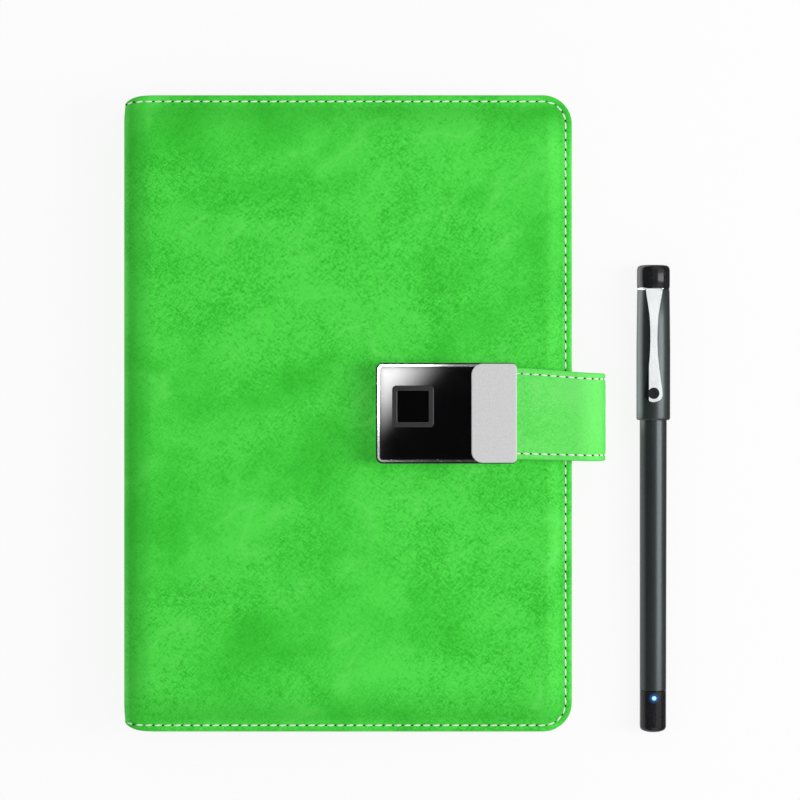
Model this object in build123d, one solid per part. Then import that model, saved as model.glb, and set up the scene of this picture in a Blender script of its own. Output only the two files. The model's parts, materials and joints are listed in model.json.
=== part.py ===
from build123d import *
from math import acos, cos, degrees, pi, radians, sin, tan
import os

# Smart notebook lying on its back cover, with its pen beside it, in millimetres.
# +X runs from the spine to the fore-edge, +Y to the head, and +Z up through the front cover.
# The origin is the middle of the back cover's outer face.

# Case: a padded A5 cover sewn round its open edges
cover_width = 154.2
cover_height = 218.8
cover_corner = 10.0
shoulder_radius = 6.0
leather_thickness = 1.0
foam_thickness = 1.2
board_thickness = 2.0
lining_thickness = 0.6
seam_thickness = 2.8
seam_width = 3.6
pad_slope = 5.4
board_inset = 5.6
lining_inset = 0.8
board_corner = 5.0
spine_board_thickness = 1.5
spine_lining_thickness = 0.5
spine_board_inset = 0.5
spine_end_drop = 4.4
spine_board_end = 1.5
page_clearance = 0.3

# Pockets on the linings
pocket_thickness = 0.5
sleeve_width = 58.0
sleeve_end_gap = 0.6
card_pocket_width = 62.0
card_pocket_height = 98.0
card_pocket_step = 27.0
card_pocket_count = 3
pocket_edge = 3.0
pocket_lip = 0.8

# Inner book
page_fore_inset = 4.7
page_end_inset = 4.4
page_corner = 6.0
half_block = 6.5
card_cover_thickness = 0.4
binding_thickness = 0.4
page_spine_inset = 5.0

# Closure strap
strap_leather = 0.8
strap_core = 0.8
strap_reach = 11.7
strap_rise = 3.0
strap_bend_radius = 9.2
strap_seam_depth = 3.4
strap_seam_thickness = 1.2
strap_seam_gap = 0.05
strap_entry = 3.4
strap_edge = 0.8
tongue_width = 15.2
tongue_tail = 20.0
tongue_gap = 0.1

# Fingerprint lock
lock_length = 47.9
lock_width = 34.3
lock_wall = 1.35
lock_from_fore = 19.4
lock_centre_y = 0.1
lock_corner_left = 2.4
lock_corner_right = 1.5
lock_corner_inner = 0.3
lock_edge = 0.45
lock_floor = 0.8
lock_fit = 0.1
glass_thickness = 0.8
glass_ledge = 0.7
sensor_frame_side = 14.1
sensor_window_side = 10.7
sensor_window_corner = 0.4
sensor_edge = 0.15
sensor_from_left = 12.65
sensor_from_middle = 2.3
sensor_frame_rise = 0.25
sensor_recess = 0.35
sensor_depth = 1.6
sensor_corner = 1.3
end_plate_length = 15.4
end_plate_margin = 0.3
end_plate_thickness = 0.7
end_plate_corner = 3.8
end_plate_edge = 0.2
slot_clearance = 0.3
backing_plate_thickness = 0.8
backing_plate_margin = 3.0
backing_plate_corner = 2.0
screw_radius = 1.0
screw_head_radius = 1.75
screw_from_edge = 4.3
screw_from_right = 18.9
boss_radius = 2.0
boss_height = 3.2
screw_gap = 0.05
screw_short = 0.2

# Latch: a motor pinion draws a sprung slide whose pin holds the tongue
gear_module = 0.3
gear_teeth = 12
gear_width = 2.4
gear_backlash = 0.12
gear_dedendum = 1.25
pressure_angle = 20.0
rack_addendum = 0.8
rack_root_gap = 0.25
latch_travel = 2.8
latch_pin_radius = 1.4
latch_pin_from_right = 7.4
latch_bar_thickness = 1.0
latch_bar_length = 5.6
latch_running_gap = 0.1
latch_bar_back = 8.8
latch_end_gap = 1.2
rack_behind_gear = 3.9
rack_base = 1.1
spring_tab = 0.8
spring_tab_drop = 0.2
spring_radius = 1.4
spring_wire = 0.35
spring_turns = 6
motor_radius = 2.0
motor_length = 11.0
motor_shaft_radius = 0.4
motor_boss_gap = 0.35
motor_gap = 0.05
motor_top_gap = 0.685
shaft_end_gap = 0.08
cradle_length = 4.4
cradle_from_gear = 6.05
cradle_opening = 0.4
rail_width = 0.9
rail_lip = 0.5
tongue_end_gap = 0.3
slot_fit = 0.2

# Lock electronics
lock_pcb_thickness = 0.8
lock_pcb_length = 17.5
lock_pcb_standoff = 0.5
lock_pcb_foot = 1.6
lock_pcb_foot_inset = 7.0
lock_battery = (15.5, 9.6)
lock_battery_gap = 0.55
lock_battery_edge = 0.8
lock_battery_left = 1.0
lock_battery_inset = 5.0
socket_width = 9.0
socket_height = 3.2
socket_depth = 6.0
socket_wall = 0.3
socket_flat = 0.1
socket_from_screws = 7.4

# Pen
pen_length = 163.2
pen_x = 106.5
pen_tail_y = -111.3
turned_edge = 0.5
cap_clearance = 0.32
cap_wall = 0.85
cap_taper = 0.4
cap_length = 54.2
cap_taper_length = 20.0
cap_end_length = 8.1
cap_ring_length = 0.7
cap_dome = 1.6
cap_dome_steps = (0.15, 0.6, 1.3)
cap_lip = 0.7
cap_lip_depth = 0.42
cap_shoulder = 0.45
cap_shoulder_length = 6.0
cap_stem_gap = 0.05
cap_ring_rise = 0.15
liner_wall = 0.5
liner_length = 28.0
liner_from_nose = 2.0
cap_stem_length = 4.0
barrel_radius = 4.73
barrel_taper = 0.11
barrel_wall = 0.8
tail_length = 14.6
tail_flat_radius = 2.5
tail_chamfer = 1.9
tail_round = 0.85
spigot_length = 5.0
spigot_gap = 0.05
nose_from_top = 17.2
nose_length = 30.0
nose_step = 0.3
nose_waist = 0.6
nose_waist_length = 9.0
nose_tip_radius = 1.7
refill_radius = 1.15
refill_length = 67.0
refill_shoulder = 0.6
refill_tip = 3.5
refill_cone = 0.3
refill_ball = 0.35
refill_running_gap = 0.08
refill_travel = 0.4
sensor_disc = 2.4
sensor_gap = 0.1
led_radius = 0.85
led_from_tail = 12.1
led_depth = 1.6
led_rise = 0.05
led_edge = 0.25
camera_radius = 1.3
camera_from_tip = 9.0
camera_floor = 0.4
camera_recess = 0.2
pen_pcb = (5.0, 24.0, 0.8)
pen_pcb_drop = 2.5
pen_pcb_gap = 0.5
pen_battery_radius = 3.3
pen_battery_length = 40.0
pen_battery_gap = 0.3
clip_thickness = 0.8
clip_gap = 0.7
clip_from_top = 8.2
clip_length = 39.7
clip_root_length = 4.5
clip_widths = ((0.0, 6.2), (7.0, 3.7), (15.5, 2.6), (29.0, 4.4), (35.7, 6.3))
inlay_radius = 1.95
inlay_from_end = 3.1
inlay_rise = 0.15
inlay_gap = 0.1
inlay_edge = 0.3

# How far a cut runs past the face that it opens
cut_over = 1.0

# Derived levels and lines
cover_thickness = lining_thickness + board_thickness + foam_thickness + leather_thickness
block_clear = pocket_thickness + page_clearance
block_bottom = cover_thickness + block_clear
mid_height = block_bottom + half_block + card_cover_thickness
total_thickness = 2 * mid_height
spine_x = -cover_width / 2
fore_x = cover_width / 2
head_y = cover_height / 2
hinge_x = spine_x + shoulder_radius
page_x = spine_x + page_spine_inset
page_width = fore_x - page_fore_inset - page_x
page_height = 2 * (head_y - page_end_inset)
front_base = total_thickness - cover_thickness
hinge_inset = shoulder_radius * (1 - cos(pi / 4))
spine_hinge_z = hinge_inset
front_hinge_z = total_thickness - hinge_inset
spine_end = head_y - spine_end_drop

lock_right = fore_x - lock_from_fore
lock_left = lock_right - lock_length
lock_centre_x = lock_right - lock_length / 2
lock_base_z = total_thickness
lock_foot_wall = lock_centre_y - lock_width / 2 + lock_wall
lock_head_wall = lock_centre_y + lock_width / 2 - lock_wall
screw_row_y = lock_centre_y + lock_width / 2 - screw_from_edge

strap_width = lock_width - 2 * (lock_wall + slot_clearance)
strap_thickness = 2 * strap_leather + strap_core
strap_level = lock_base_z + strap_rise
strap_crown_x = fore_x + strap_reach
strap_arc_x = strap_crown_x - strap_thickness / 2 - strap_bend_radius
strap_low_z = cover_thickness - lining_thickness - (seam_thickness - lining_thickness) / 2
strap_split_z = (strap_low_z + strap_level) / 2

gear_radius = gear_module * gear_teeth / 2
gear_tip_radius = gear_radius + gear_module
gear_root_radius = gear_radius - gear_dedendum * gear_module
latch_bottom_z = lock_base_z + lock_floor + latch_running_gap
rack_line_z = latch_bottom_z + rack_base + gear_module * (rack_addendum + rack_root_gap)
gear_z = rack_line_z + gear_radius
gear_y = screw_row_y - boss_radius - motor_boss_gap - motor_radius
latch_x = lock_right - latch_pin_from_right
latch_y = lock_centre_y
bar_left = latch_x - latch_bar_length / 2
gear_x = bar_left - gear_width / 2
rack_low = gear_y - rack_behind_gear
slide_front = lock_head_wall - latch_end_gap
glass_bottom_z = gear_z + motor_radius + motor_top_gap
lock_top_z = glass_bottom_z + glass_thickness
lock_height = lock_top_z - lock_base_z

barrel_tail_radius = barrel_radius - barrel_taper
cap_radius = barrel_radius + cap_clearance + cap_wall
cap_top_radius = cap_radius - cap_taper
cap_mouth = pen_length - cap_length
nose_end = pen_length - nose_from_top
nose_start = nose_end - nose_length
clip_start = pen_length - clip_from_top
clip_end = clip_start - clip_length
pen_tilt = degrees((cap_radius - barrel_tail_radius) / (cap_mouth - tail_chamfer))
pen_place = Pos(pen_x, pen_tail_y, 0) * Rot(pen_tilt, 0, 0) * Pos(0, 0, barrel_tail_radius)


# Helpers
def block(x0, x1, y0, y1, z0, z1):
    """A box between two corners."""
    centre = Pos((x0 + x1) / 2, (y0 + y1) / 2, (z0 + z1) / 2)
    return centre * Box(x1 - x0, y1 - y0, z1 - z0)


def rod(start, end, radius):
    """A round rod along +Y, which is the pen's own axis."""
    middle = Pos(0, (start + end) / 2, 0) * Rot(90, 0, 0)
    return middle * Cylinder(radius, end - start)


def tube(start, end, outer, inner):
    """A round tube along +Y."""
    return rod(start, end, outer) - rod(start, end, inner)


def turned(points):
    """A solid turned about the Y axis from (radius, length) points."""
    outline = Polyline(*[(radius, length) for radius, length in points], close=True)
    return revolve(make_face(outline), Axis.Y, 360)


def save(shape, node):
    """Write one sub-part to its own file."""
    solids = shape.solids()
    body = solids[0] if len(solids) == 1 else Compound(children=list(solids))
    export_step(body, os.path.join("parts", node + ".step"))


def outline(left, inset, corner):
    """Plan of one cover from a line near the spine to its rounded fore-edge corners."""
    right = fore_x - inset
    side = head_y - inset
    plan = Pos((left + right) / 2, 0) * Rectangle(right - left, 2 * side)
    return fillet(plan.vertices().group_by(Axis.X)[-1], corner)


def padded_cover(left, low, edge, crown):
    """The padded outer form: two sloped sections crossed inside the plan outline."""
    right = fore_x
    rise = [(right - seam_width, edge), (right - seam_width - pad_slope, crown)]
    points = [(left, low), (right, low), (right, edge)] + rise + [(left, crown)]
    along = extrude(Plane.XZ * make_face(Polyline(*points, close=True)), head_y, both=True)
    seam = head_y - seam_width
    half = [(head_y, low), (head_y, edge), (seam, edge), (seam - pad_slope, crown)]
    points = half + [(-y, z) for y, z in reversed(half)]
    across = extrude(Plane.YZ * make_face(Polyline(*points, close=True)), cover_width, both=True)
    plan = extrude(outline(left, 0, cover_corner), crown)
    return along & across & plan


# Covers, in their own height from the inner face outward
def cover_layers():
    """Lining, board, foam and leather of one cover."""
    board_left = hinge_x + leather_thickness
    board_top = lining_thickness + board_thickness
    foam_top = board_top + foam_thickness
    lining = extrude(outline(hinge_x, lining_inset, cover_corner - lining_inset), lining_thickness)
    board_plan = outline(board_left, board_inset, board_corner)
    board = Pos(0, 0, lining_thickness) * extrude(board_plan, board_thickness)
    outer = padded_cover(hinge_x, lining_thickness, seam_thickness, cover_thickness)
    space = Pos(0, 0, board_top) * extrude(board_plan, foam_thickness)
    under = padded_cover(hinge_x, lining_thickness, seam_thickness - leather_thickness, foam_top)
    foam = space & under
    leather = outer - board - foam
    return lining, board, foam, leather


def front_cover():
    """The front cover, with holes for the lock's screws."""
    lining, board, foam, leather = cover_layers()
    place = Pos(0, 0, front_base)
    plate_low = lining_thickness
    plate_high = plate_low + backing_plate_thickness
    plate = backing_outline(plate_low, plate_high, screw_gap)
    holes = screw_shafts(0, cover_thickness, screw_radius + screw_gap)
    board = board - plate - holes
    save(place * lining, "front_lining")
    save(place * board, "front_board")
    save(place * (foam - holes), "front_foam")
    save(place * (leather - holes), "front_leather")


def back_cover():
    """The back cover, the front one turned over, with the strap's end sewn into its seam."""
    seam_slot = strap_seam(strap_seam_gap)
    names = ("back_lining", "back_board", "back_foam", "back_leather")
    for name, layer in zip(names, cover_layers()):
        piece = Pos(0, 0, cover_thickness) * mirror(layer, about=Plane.XY)
        if name == "back_leather":
            piece = piece - seam_slot
        save(piece, name)


def shoulder_plan():
    """Plan of the leather over a shoulder, whose head and foot curve in to the shorter spine."""
    arc_radius = (shoulder_radius ** 2 + spine_end_drop ** 2) / (2 * spine_end_drop)
    middle_x = shoulder_radius / 2
    middle_y = head_y - arc_radius + (arc_radius ** 2 - middle_x ** 2) ** 0.5
    head = ThreePointArc((spine_x, spine_end), (hinge_x - middle_x, middle_y), (hinge_x, head_y))
    foot = ThreePointArc((hinge_x, -head_y), (hinge_x - middle_x, -middle_y), (spine_x, -spine_end))
    fore = Line((hinge_x, head_y), (hinge_x, -head_y))
    back = Line((spine_x, -spine_end), (spine_x, spine_end))
    return make_face(head + fore + foot + back)


def spine():
    """Spine leather, board and lining, and the two leather joints that bend."""
    low = shoulder_radius
    high = total_thickness - shoulder_radius
    leather_in = spine_x + leather_thickness
    board_in = leather_in + spine_board_thickness
    lining_in = board_in + spine_lining_thickness
    board_end = spine_end - spine_board_end
    save(block(spine_x, leather_in, -spine_end, spine_end, low, high), "spine_leather")
    board_low = low + spine_board_inset
    board_high = high - spine_board_inset
    save(block(leather_in, board_in, -board_end, board_end, board_low, board_high), "spine_board")
    lining_end = spine_end - lining_inset
    save(block(board_in, lining_in, -lining_end, lining_end, board_low, board_high), "spine_lining")
    inner = shoulder_radius - leather_thickness
    plan = extrude(shoulder_plan(), total_thickness)
    for name, level, sign in (("front_hinge_leather", high, 1), ("back_hinge_leather", low, -1)):
        ring = Circle(shoulder_radius) - Circle(inner)
        corner = Pos(-shoulder_radius, sign * shoulder_radius)
        quarter = ring & (corner * Rectangle(2 * shoulder_radius, 2 * shoulder_radius))
        bend = extrude(Plane.XZ * quarter, head_y, both=True)
        save(plan & (Pos(hinge_x, 0, level) * bend), name)


def pockets():
    """Card pockets on the front lining and a sleeve on the back one."""
    edge_x = fore_x - board_inset
    low = front_base - pocket_thickness
    left = edge_x - card_pocket_width
    bottom = -card_pocket_height / 2
    pocket = block(left, edge_x, bottom, -bottom, low, front_base)
    for index in range(card_pocket_count):
        lip = bottom + card_pocket_height - (index + 0.5) * card_pocket_step
        groove_top = low + pocket_thickness / 2
        pocket -= block(left + pocket_edge, edge_x - pocket_edge, lip, lip + pocket_lip, low, groove_top)
    save(pocket, "card_pocket")
    sleeve_low = cover_thickness + card_cover_thickness
    half = head_y - board_inset - sleeve_end_gap
    sleeve_left = edge_x - sleeve_width
    save(block(sleeve_left, edge_x, -half, half, sleeve_low, sleeve_low + pocket_thickness), "back_sleeve")


def inner_book():
    """Card covers, the two halves of the page block and its binding."""
    right = page_x + page_width
    plan = Pos((page_x + right) / 2, 0) * Rectangle(page_width, page_height)
    plan = fillet(plan.vertices().group_by(Axis.X)[-1], page_corner)
    card = extrude(plan, card_cover_thickness)
    half = extrude(plan, half_block)
    card_top = mid_height + half_block
    save(Pos(0, 0, cover_thickness) * card, "book_back_cover")
    save(Pos(0, 0, mid_height - half_block) * half, "lower_pages")
    save(Pos(0, 0, mid_height) * half, "upper_pages")
    save(Pos(0, 0, card_top) * card, "book_front_cover")
    side = page_height / 2
    top = card_top + card_cover_thickness
    strip = block(page_x - binding_thickness, page_x, -side, side, cover_thickness, top)
    save(strip, "book_binding")


# Strap
def strap_band(inner, outer, width, part):
    """A band of the strap between two offsets of its middle line, in one of its two halves."""
    left = lock_right - strap_entry if part == "upper" else fore_x
    side = 1 if part == "upper" else -1
    level = strap_level if part == "upper" else strap_low_z
    centre = level - side * strap_bend_radius
    inside = strap_bend_radius + inner
    outside = strap_bend_radius + outer
    thick = outside - inside
    ring = Circle(outside) - Circle(inside)
    corner = Pos(outside, side * outside) * Rectangle(2 * outside, 2 * outside)
    sketch = Pos(strap_arc_x, centre) * (ring & corner)
    run_middle = centre + side * (inside + outside) / 2
    sketch += Pos((left + strap_arc_x) / 2, run_middle) * Rectangle(strap_arc_x - left, thick)
    leg_middle = (strap_split_z + centre) / 2
    leg_x = strap_arc_x + (inside + outside) / 2
    sketch += Pos(leg_x, leg_middle) * Rectangle(thick, abs(centre - strap_split_z))
    return extrude(Plane.XZ * sketch, width / 2, both=True)


def strap_seam(gap):
    """The strap's thinned end inside the back cover's seam."""
    half = strap_width / 2 + gap
    half_thick = strap_seam_thickness / 2 + gap
    left = fore_x - strap_seam_depth - gap
    return block(left, fore_x, -half, half, strap_low_z - half_thick, strap_low_z + half_thick)


def strap():
    """Leather, lining and core of the strap, and the spring steel tongue that the latch holds."""
    half_core = strap_core / 2
    half_all = strap_thickness / 2
    root = strap_band(half_core, half_all, strap_width, "lower")
    root_lining = strap_band(-half_all, half_core, strap_width, "lower")
    save(root, "strap_root_leather")
    save(root_lining + strap_seam(0), "strap_root_lining")
    save(strap_band(half_core, half_all, strap_width, "upper"), "strap_leather")
    save(strap_band(-half_all, -half_core, strap_width, "upper"), "strap_lining")
    tongue_left = bar_left + tongue_end_gap
    tongue_right = lock_right + tongue_tail - strap_entry
    half_tongue = tongue_width / 2
    tongue_low = strap_level - half_core
    tongue_high = strap_level + half_core
    tongue = block(tongue_left, tongue_right, -half_tongue, half_tongue, tongue_low, tongue_high)
    tongue = Pos(0, latch_y, 0) * tongue
    core = strap_band(-half_core, half_core, strap_width - 2 * strap_edge, "upper")
    half_pocket = half_tongue + tongue_gap
    pocket = block(tongue_left, tongue_right + tongue_gap, -half_pocket, half_pocket, tongue_low, tongue_high)
    save(core - Pos(0, latch_y, 0) * pocket, "strap_core")
    pin = latch_pin_radius + slot_fit
    drawn_y = latch_y - latch_travel
    entry = block(tongue_left - cut_over, latch_x + pin, drawn_y - pin, drawn_y + pin, tongue_low, tongue_high)
    branch = block(latch_x - pin, latch_x + pin, drawn_y, latch_y + pin, tongue_low, tongue_high)
    save(tongue - entry - branch, "strap_tongue")


# Lock
def lock_plan(inset):
    """Plan of the lock, with its left and right corners rounded to their own radii."""
    length = lock_length - 2 * inset
    width = lock_width - 2 * inset
    plan = Pos(lock_centre_x, lock_centre_y) * Rectangle(length, width)
    left = max(lock_corner_left - inset, lock_corner_inner)
    right = max(lock_corner_right - inset, lock_corner_inner)
    plan = fillet(plan.vertices().group_by(Axis.X)[0], left)
    return fillet(plan.vertices().group_by(Axis.X)[-1], right)


def screw_points():
    """Middles of the four lock screws."""
    half = lock_width / 2 - screw_from_edge
    rows = (lock_left + screw_from_edge, lock_right - screw_from_right)
    return [(x, lock_centre_y + y) for x in rows for y in (-half, half)]


def screw_shafts(low, high, radius):
    """Round bars through the four screw positions."""
    bars = [Pos(x, y, (low + high) / 2) * Cylinder(radius, high - low) for x, y in screw_points()]
    return bars[0] + bars[1:]


def backing_outline(low, high, gap):
    """Steel plate inside the front cover that the lock screws pull against."""
    length = lock_length - screw_from_right - screw_from_edge + 2 * backing_plate_margin + 2 * gap
    width = lock_width - 2 * screw_from_edge + 2 * backing_plate_margin + 2 * gap
    middle = lock_centre_x + (screw_from_edge - screw_from_right) / 2
    plan = Pos(middle, lock_centre_y) * RectangleRounded(length, width, backing_plate_corner)
    return Pos(0, 0, low) * extrude(plan, high - low)


def lock_housing():
    """Chromed die-cast ring with a ledge for the glass, the strap slot and the socket opening."""
    ring = extrude(lock_plan(0) - lock_plan(lock_wall), lock_height)
    ledge_low = lock_height - glass_thickness - glass_ledge
    ledge = extrude(lock_plan(lock_wall) - lock_plan(lock_wall + glass_ledge), glass_ledge)
    housing = Pos(0, 0, lock_base_z) * (ring + Pos(0, 0, ledge_low) * ledge)
    housing = fillet(housing.faces().sort_by(Axis.Z)[-1].outer_wire().edges(), lock_edge)
    half = strap_width / 2 + slot_clearance
    half_thick = strap_thickness / 2 + slot_clearance
    slot = block(lock_right - 2 * lock_wall, lock_right + cut_over, latch_y - half, latch_y + half,
                 strap_level - half_thick, strap_level + half_thick)
    low = lock_centre_y - lock_width / 2
    socket = socket_shell(lock_fit / 2, low - cut_over)
    housing = housing - slot - socket
    save(housing, "lock_housing")


def socket_shell(gap, front):
    """Outer form of the charging socket, which sits in the lock's foot side."""
    x = lock_right - screw_from_right - socket_from_screws
    z = lock_base_z + lock_floor + lock_fit + socket_height / 2
    back = lock_centre_y - lock_width / 2 + socket_depth
    corner = (socket_height + 2 * gap - socket_flat) / 2
    profile = RectangleRounded(socket_width + 2 * gap, socket_height + 2 * gap, corner)
    shell = extrude(Plane.XZ * profile, back - front)
    return Pos(x, back, z) * shell


def lock_base():
    """Floor of the lock with its screw bosses, slide rails and motor cradle."""
    base = extrude(lock_plan(lock_wall + lock_fit), lock_floor)
    base = Pos(0, 0, lock_base_z) * base
    boss_top = lock_base_z + boss_height
    base += screw_shafts(lock_base_z, boss_top, boss_radius)
    base -= screw_shafts(lock_base_z, boss_top, screw_radius + screw_gap)
    floor_z = lock_base_z + lock_floor
    lip_low = latch_bottom_z + latch_bar_thickness + latch_running_gap
    lip_high = lip_low + rail_lip
    start = latch_y - latch_bar_back
    bar_right = bar_left + latch_bar_length
    rack_clear = rack_low - latch_travel - 2 * latch_running_gap
    sides = (
        (bar_left - latch_running_gap, -1, rack_clear),
        (bar_right + latch_running_gap, 1, latch_y + latch_bar_back),
    )
    for inner, side, end in sides:
        outer = inner + side * rail_width
        lip = inner - side * (rail_lip + latch_running_gap)
        base += block(min(inner, outer), max(inner, outer), start, end, floor_z, lip_high)
        base += block(min(lip, outer), max(lip, outer), start, end, lip_low, lip_high)
    cradle_x = gear_x - gear_width / 2 - cradle_from_gear
    cradle = block(cradle_x - cradle_length / 2, cradle_x + cradle_length / 2,
                   gear_y - motor_radius - rail_width, gear_y + motor_radius + rail_width,
                   floor_z, gear_z - cradle_opening)
    axis = Pos(cradle_x, gear_y, gear_z) * Rot(0, 90, 0)
    base += cradle
    base -= axis * Cylinder(motor_radius + motor_gap, 2 * motor_length)
    save(base, "lock_base")


def lock_face():
    """Black glass, sensor frame, sensor and the pale end plate."""
    sensor_x = lock_left + sensor_from_left
    sensor_y = lock_centre_y + sensor_from_middle
    spot = Pos(sensor_x, sensor_y)
    frame_plan = RectangleRounded(sensor_frame_side, sensor_frame_side, sensor_corner)
    window_plan = RectangleRounded(sensor_window_side, sensor_window_side, sensor_window_corner)
    opening = extrude(spot * frame_plan, glass_thickness)
    glass = extrude(lock_plan(lock_wall), glass_thickness) - opening
    save(Pos(0, 0, glass_bottom_z) * glass, "glass_panel")
    frame_top = lock_top_z + sensor_frame_rise
    frame_height = frame_top - glass_bottom_z
    ring = extrude(spot * (frame_plan - window_plan), frame_height)
    ring = Pos(0, 0, glass_bottom_z) * ring
    ring = chamfer(ring.faces().sort_by(Axis.Z)[-1].edges(), sensor_edge)
    save(ring, "sensor_frame")
    sensor_top = lock_top_z - sensor_recess
    sensor_plan = RectangleRounded(sensor_window_side, sensor_window_side, sensor_window_corner)
    sensor = Pos(0, 0, sensor_top - sensor_depth) * extrude(spot * sensor_plan, sensor_depth)
    save(sensor, "fingerprint_sensor")
    half = lock_width / 2 - end_plate_margin
    plate = Rectangle(end_plate_length, 2 * half)
    plate = fillet(plate.vertices().group_by(Axis.X)[0], end_plate_corner)
    plate = fillet(plate.vertices().group_by(Axis.X)[-1], lock_corner_right)
    plate = Pos(lock_right - end_plate_length / 2, lock_centre_y) * plate
    plate = Pos(0, 0, lock_top_z) * extrude(plate, end_plate_thickness)
    plate = chamfer(plate.faces().sort_by(Axis.Z)[-1].edges(), end_plate_edge)
    save(plate, "end_plate")


def gear_outline():
    """Outline of the pinion: tip, flank and root points of each tooth from the pitch angles."""
    half_pitch = (pi * gear_module - gear_backlash) / 4 / gear_radius
    pressure = radians(pressure_angle)
    base_radius = gear_radius * cos(pressure)

    def flank(radius):
        """Half the tooth's angle at a radius, from the involute."""
        angle = acos(min(1.0, base_radius / radius))
        return half_pitch + tan(pressure) - pressure - (tan(angle) - angle)

    radii = (gear_root_radius, base_radius, gear_radius, gear_tip_radius)
    points = []
    for tooth in range(gear_teeth):
        centre = 2 * pi * tooth / gear_teeth - pi / 2
        angles = [flank(max(radius, base_radius)) for radius in radii]
        sides = [(radius, -angle) for radius, angle in zip(radii, angles)]
        sides += [(radius, angle) for radius, angle in reversed(list(zip(radii, angles)))]
        points += [(r * cos(centre + a), r * sin(centre + a)) for r, a in sides]
    return make_face(Polyline(*points, close=True))


def motor_and_pinion():
    """Gear motor with its shaft along X, and the pinion on it."""
    length = gear_width + 2 * latch_running_gap
    motor_end = gear_x - length / 2
    can = Rot(0, 90, 0) * Cylinder(motor_radius, motor_length)
    save(Pos(motor_end - motor_length / 2, gear_y, gear_z) * can, "gear_motor")
    wheel = extrude(Plane.YZ * gear_outline(), gear_width / 2, both=True)
    stub = Rot(0, 90, 0) * Cylinder(motor_shaft_radius, gear_width + 2 * (latch_running_gap - shaft_end_gap))
    save(Pos(gear_x, gear_y, gear_z) * (wheel + stub), "pinion")


def latch():
    """Sprung slide: bar, rack, pin and spring tab, and its return spring."""
    bottom = latch_bottom_z
    bar_top = bottom + latch_bar_thickness
    bar_right = bar_left + latch_bar_length
    back = latch_y - latch_bar_back
    slide = block(bar_left, bar_right, back, slide_front, bottom, bar_top)
    slide += block(bar_left - gear_width, bar_left, rack_low, slide_front, bottom, bottom + rack_base)
    pitch = pi * gear_module
    half_line = (pitch - gear_backlash) / 4
    slope = tan(radians(pressure_angle)) * gear_module
    tip = half_line - slope * rack_addendum
    root = half_line + slope * (rack_addendum + rack_root_gap)
    tip_z = rack_line_z + gear_module * rack_addendum
    root_z = bottom + rack_base
    count = int((slide_front - gear_y) / pitch)
    below = int((gear_y - rack_low) / pitch)
    for index in range(-below, count):
        y = gear_y + (index + 0.5) * pitch
        corners = [(y - root, root_z), (y + root, root_z), (y + tip, tip_z), (y - tip, tip_z)]
        tooth = make_face(Polyline(*corners, close=True))
        slide += extrude(Plane.YZ.offset(bar_left - gear_width) * tooth, gear_width)
    pin_top = strap_level + strap_core / 2 + 2 * slot_fit
    slide += Pos(latch_x, latch_y, (bar_top + pin_top) / 2) * Cylinder(latch_pin_radius, pin_top - bar_top)
    tab_top = bottom + 2 * (spring_radius + spring_wire) - spring_tab_drop
    tab_half = latch_bar_length / 2 - rail_lip - 2 * latch_running_gap
    slide += block(latch_x - tab_half, latch_x + tab_half, back, back + spring_tab, bottom, tab_top)
    save(slide, "latch_slide")
    coil = spring_radius - spring_wire / 2
    length = back - lock_foot_wall - 2 * latch_running_gap
    helix = Helix(pitch=(length - spring_wire) / spring_turns, height=length - spring_wire, radius=coil)
    section = Plane(helix @ 0, z_dir=helix % 0) * Circle(spring_wire / 2)
    spring = sweep(section, path=helix)
    start = lock_foot_wall + latch_running_gap + spring_wire / 2
    place = Pos(latch_x, start, bottom + spring_radius) * Rot(-90, 0, 0)
    save(place * spring, "latch_spring")


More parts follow.
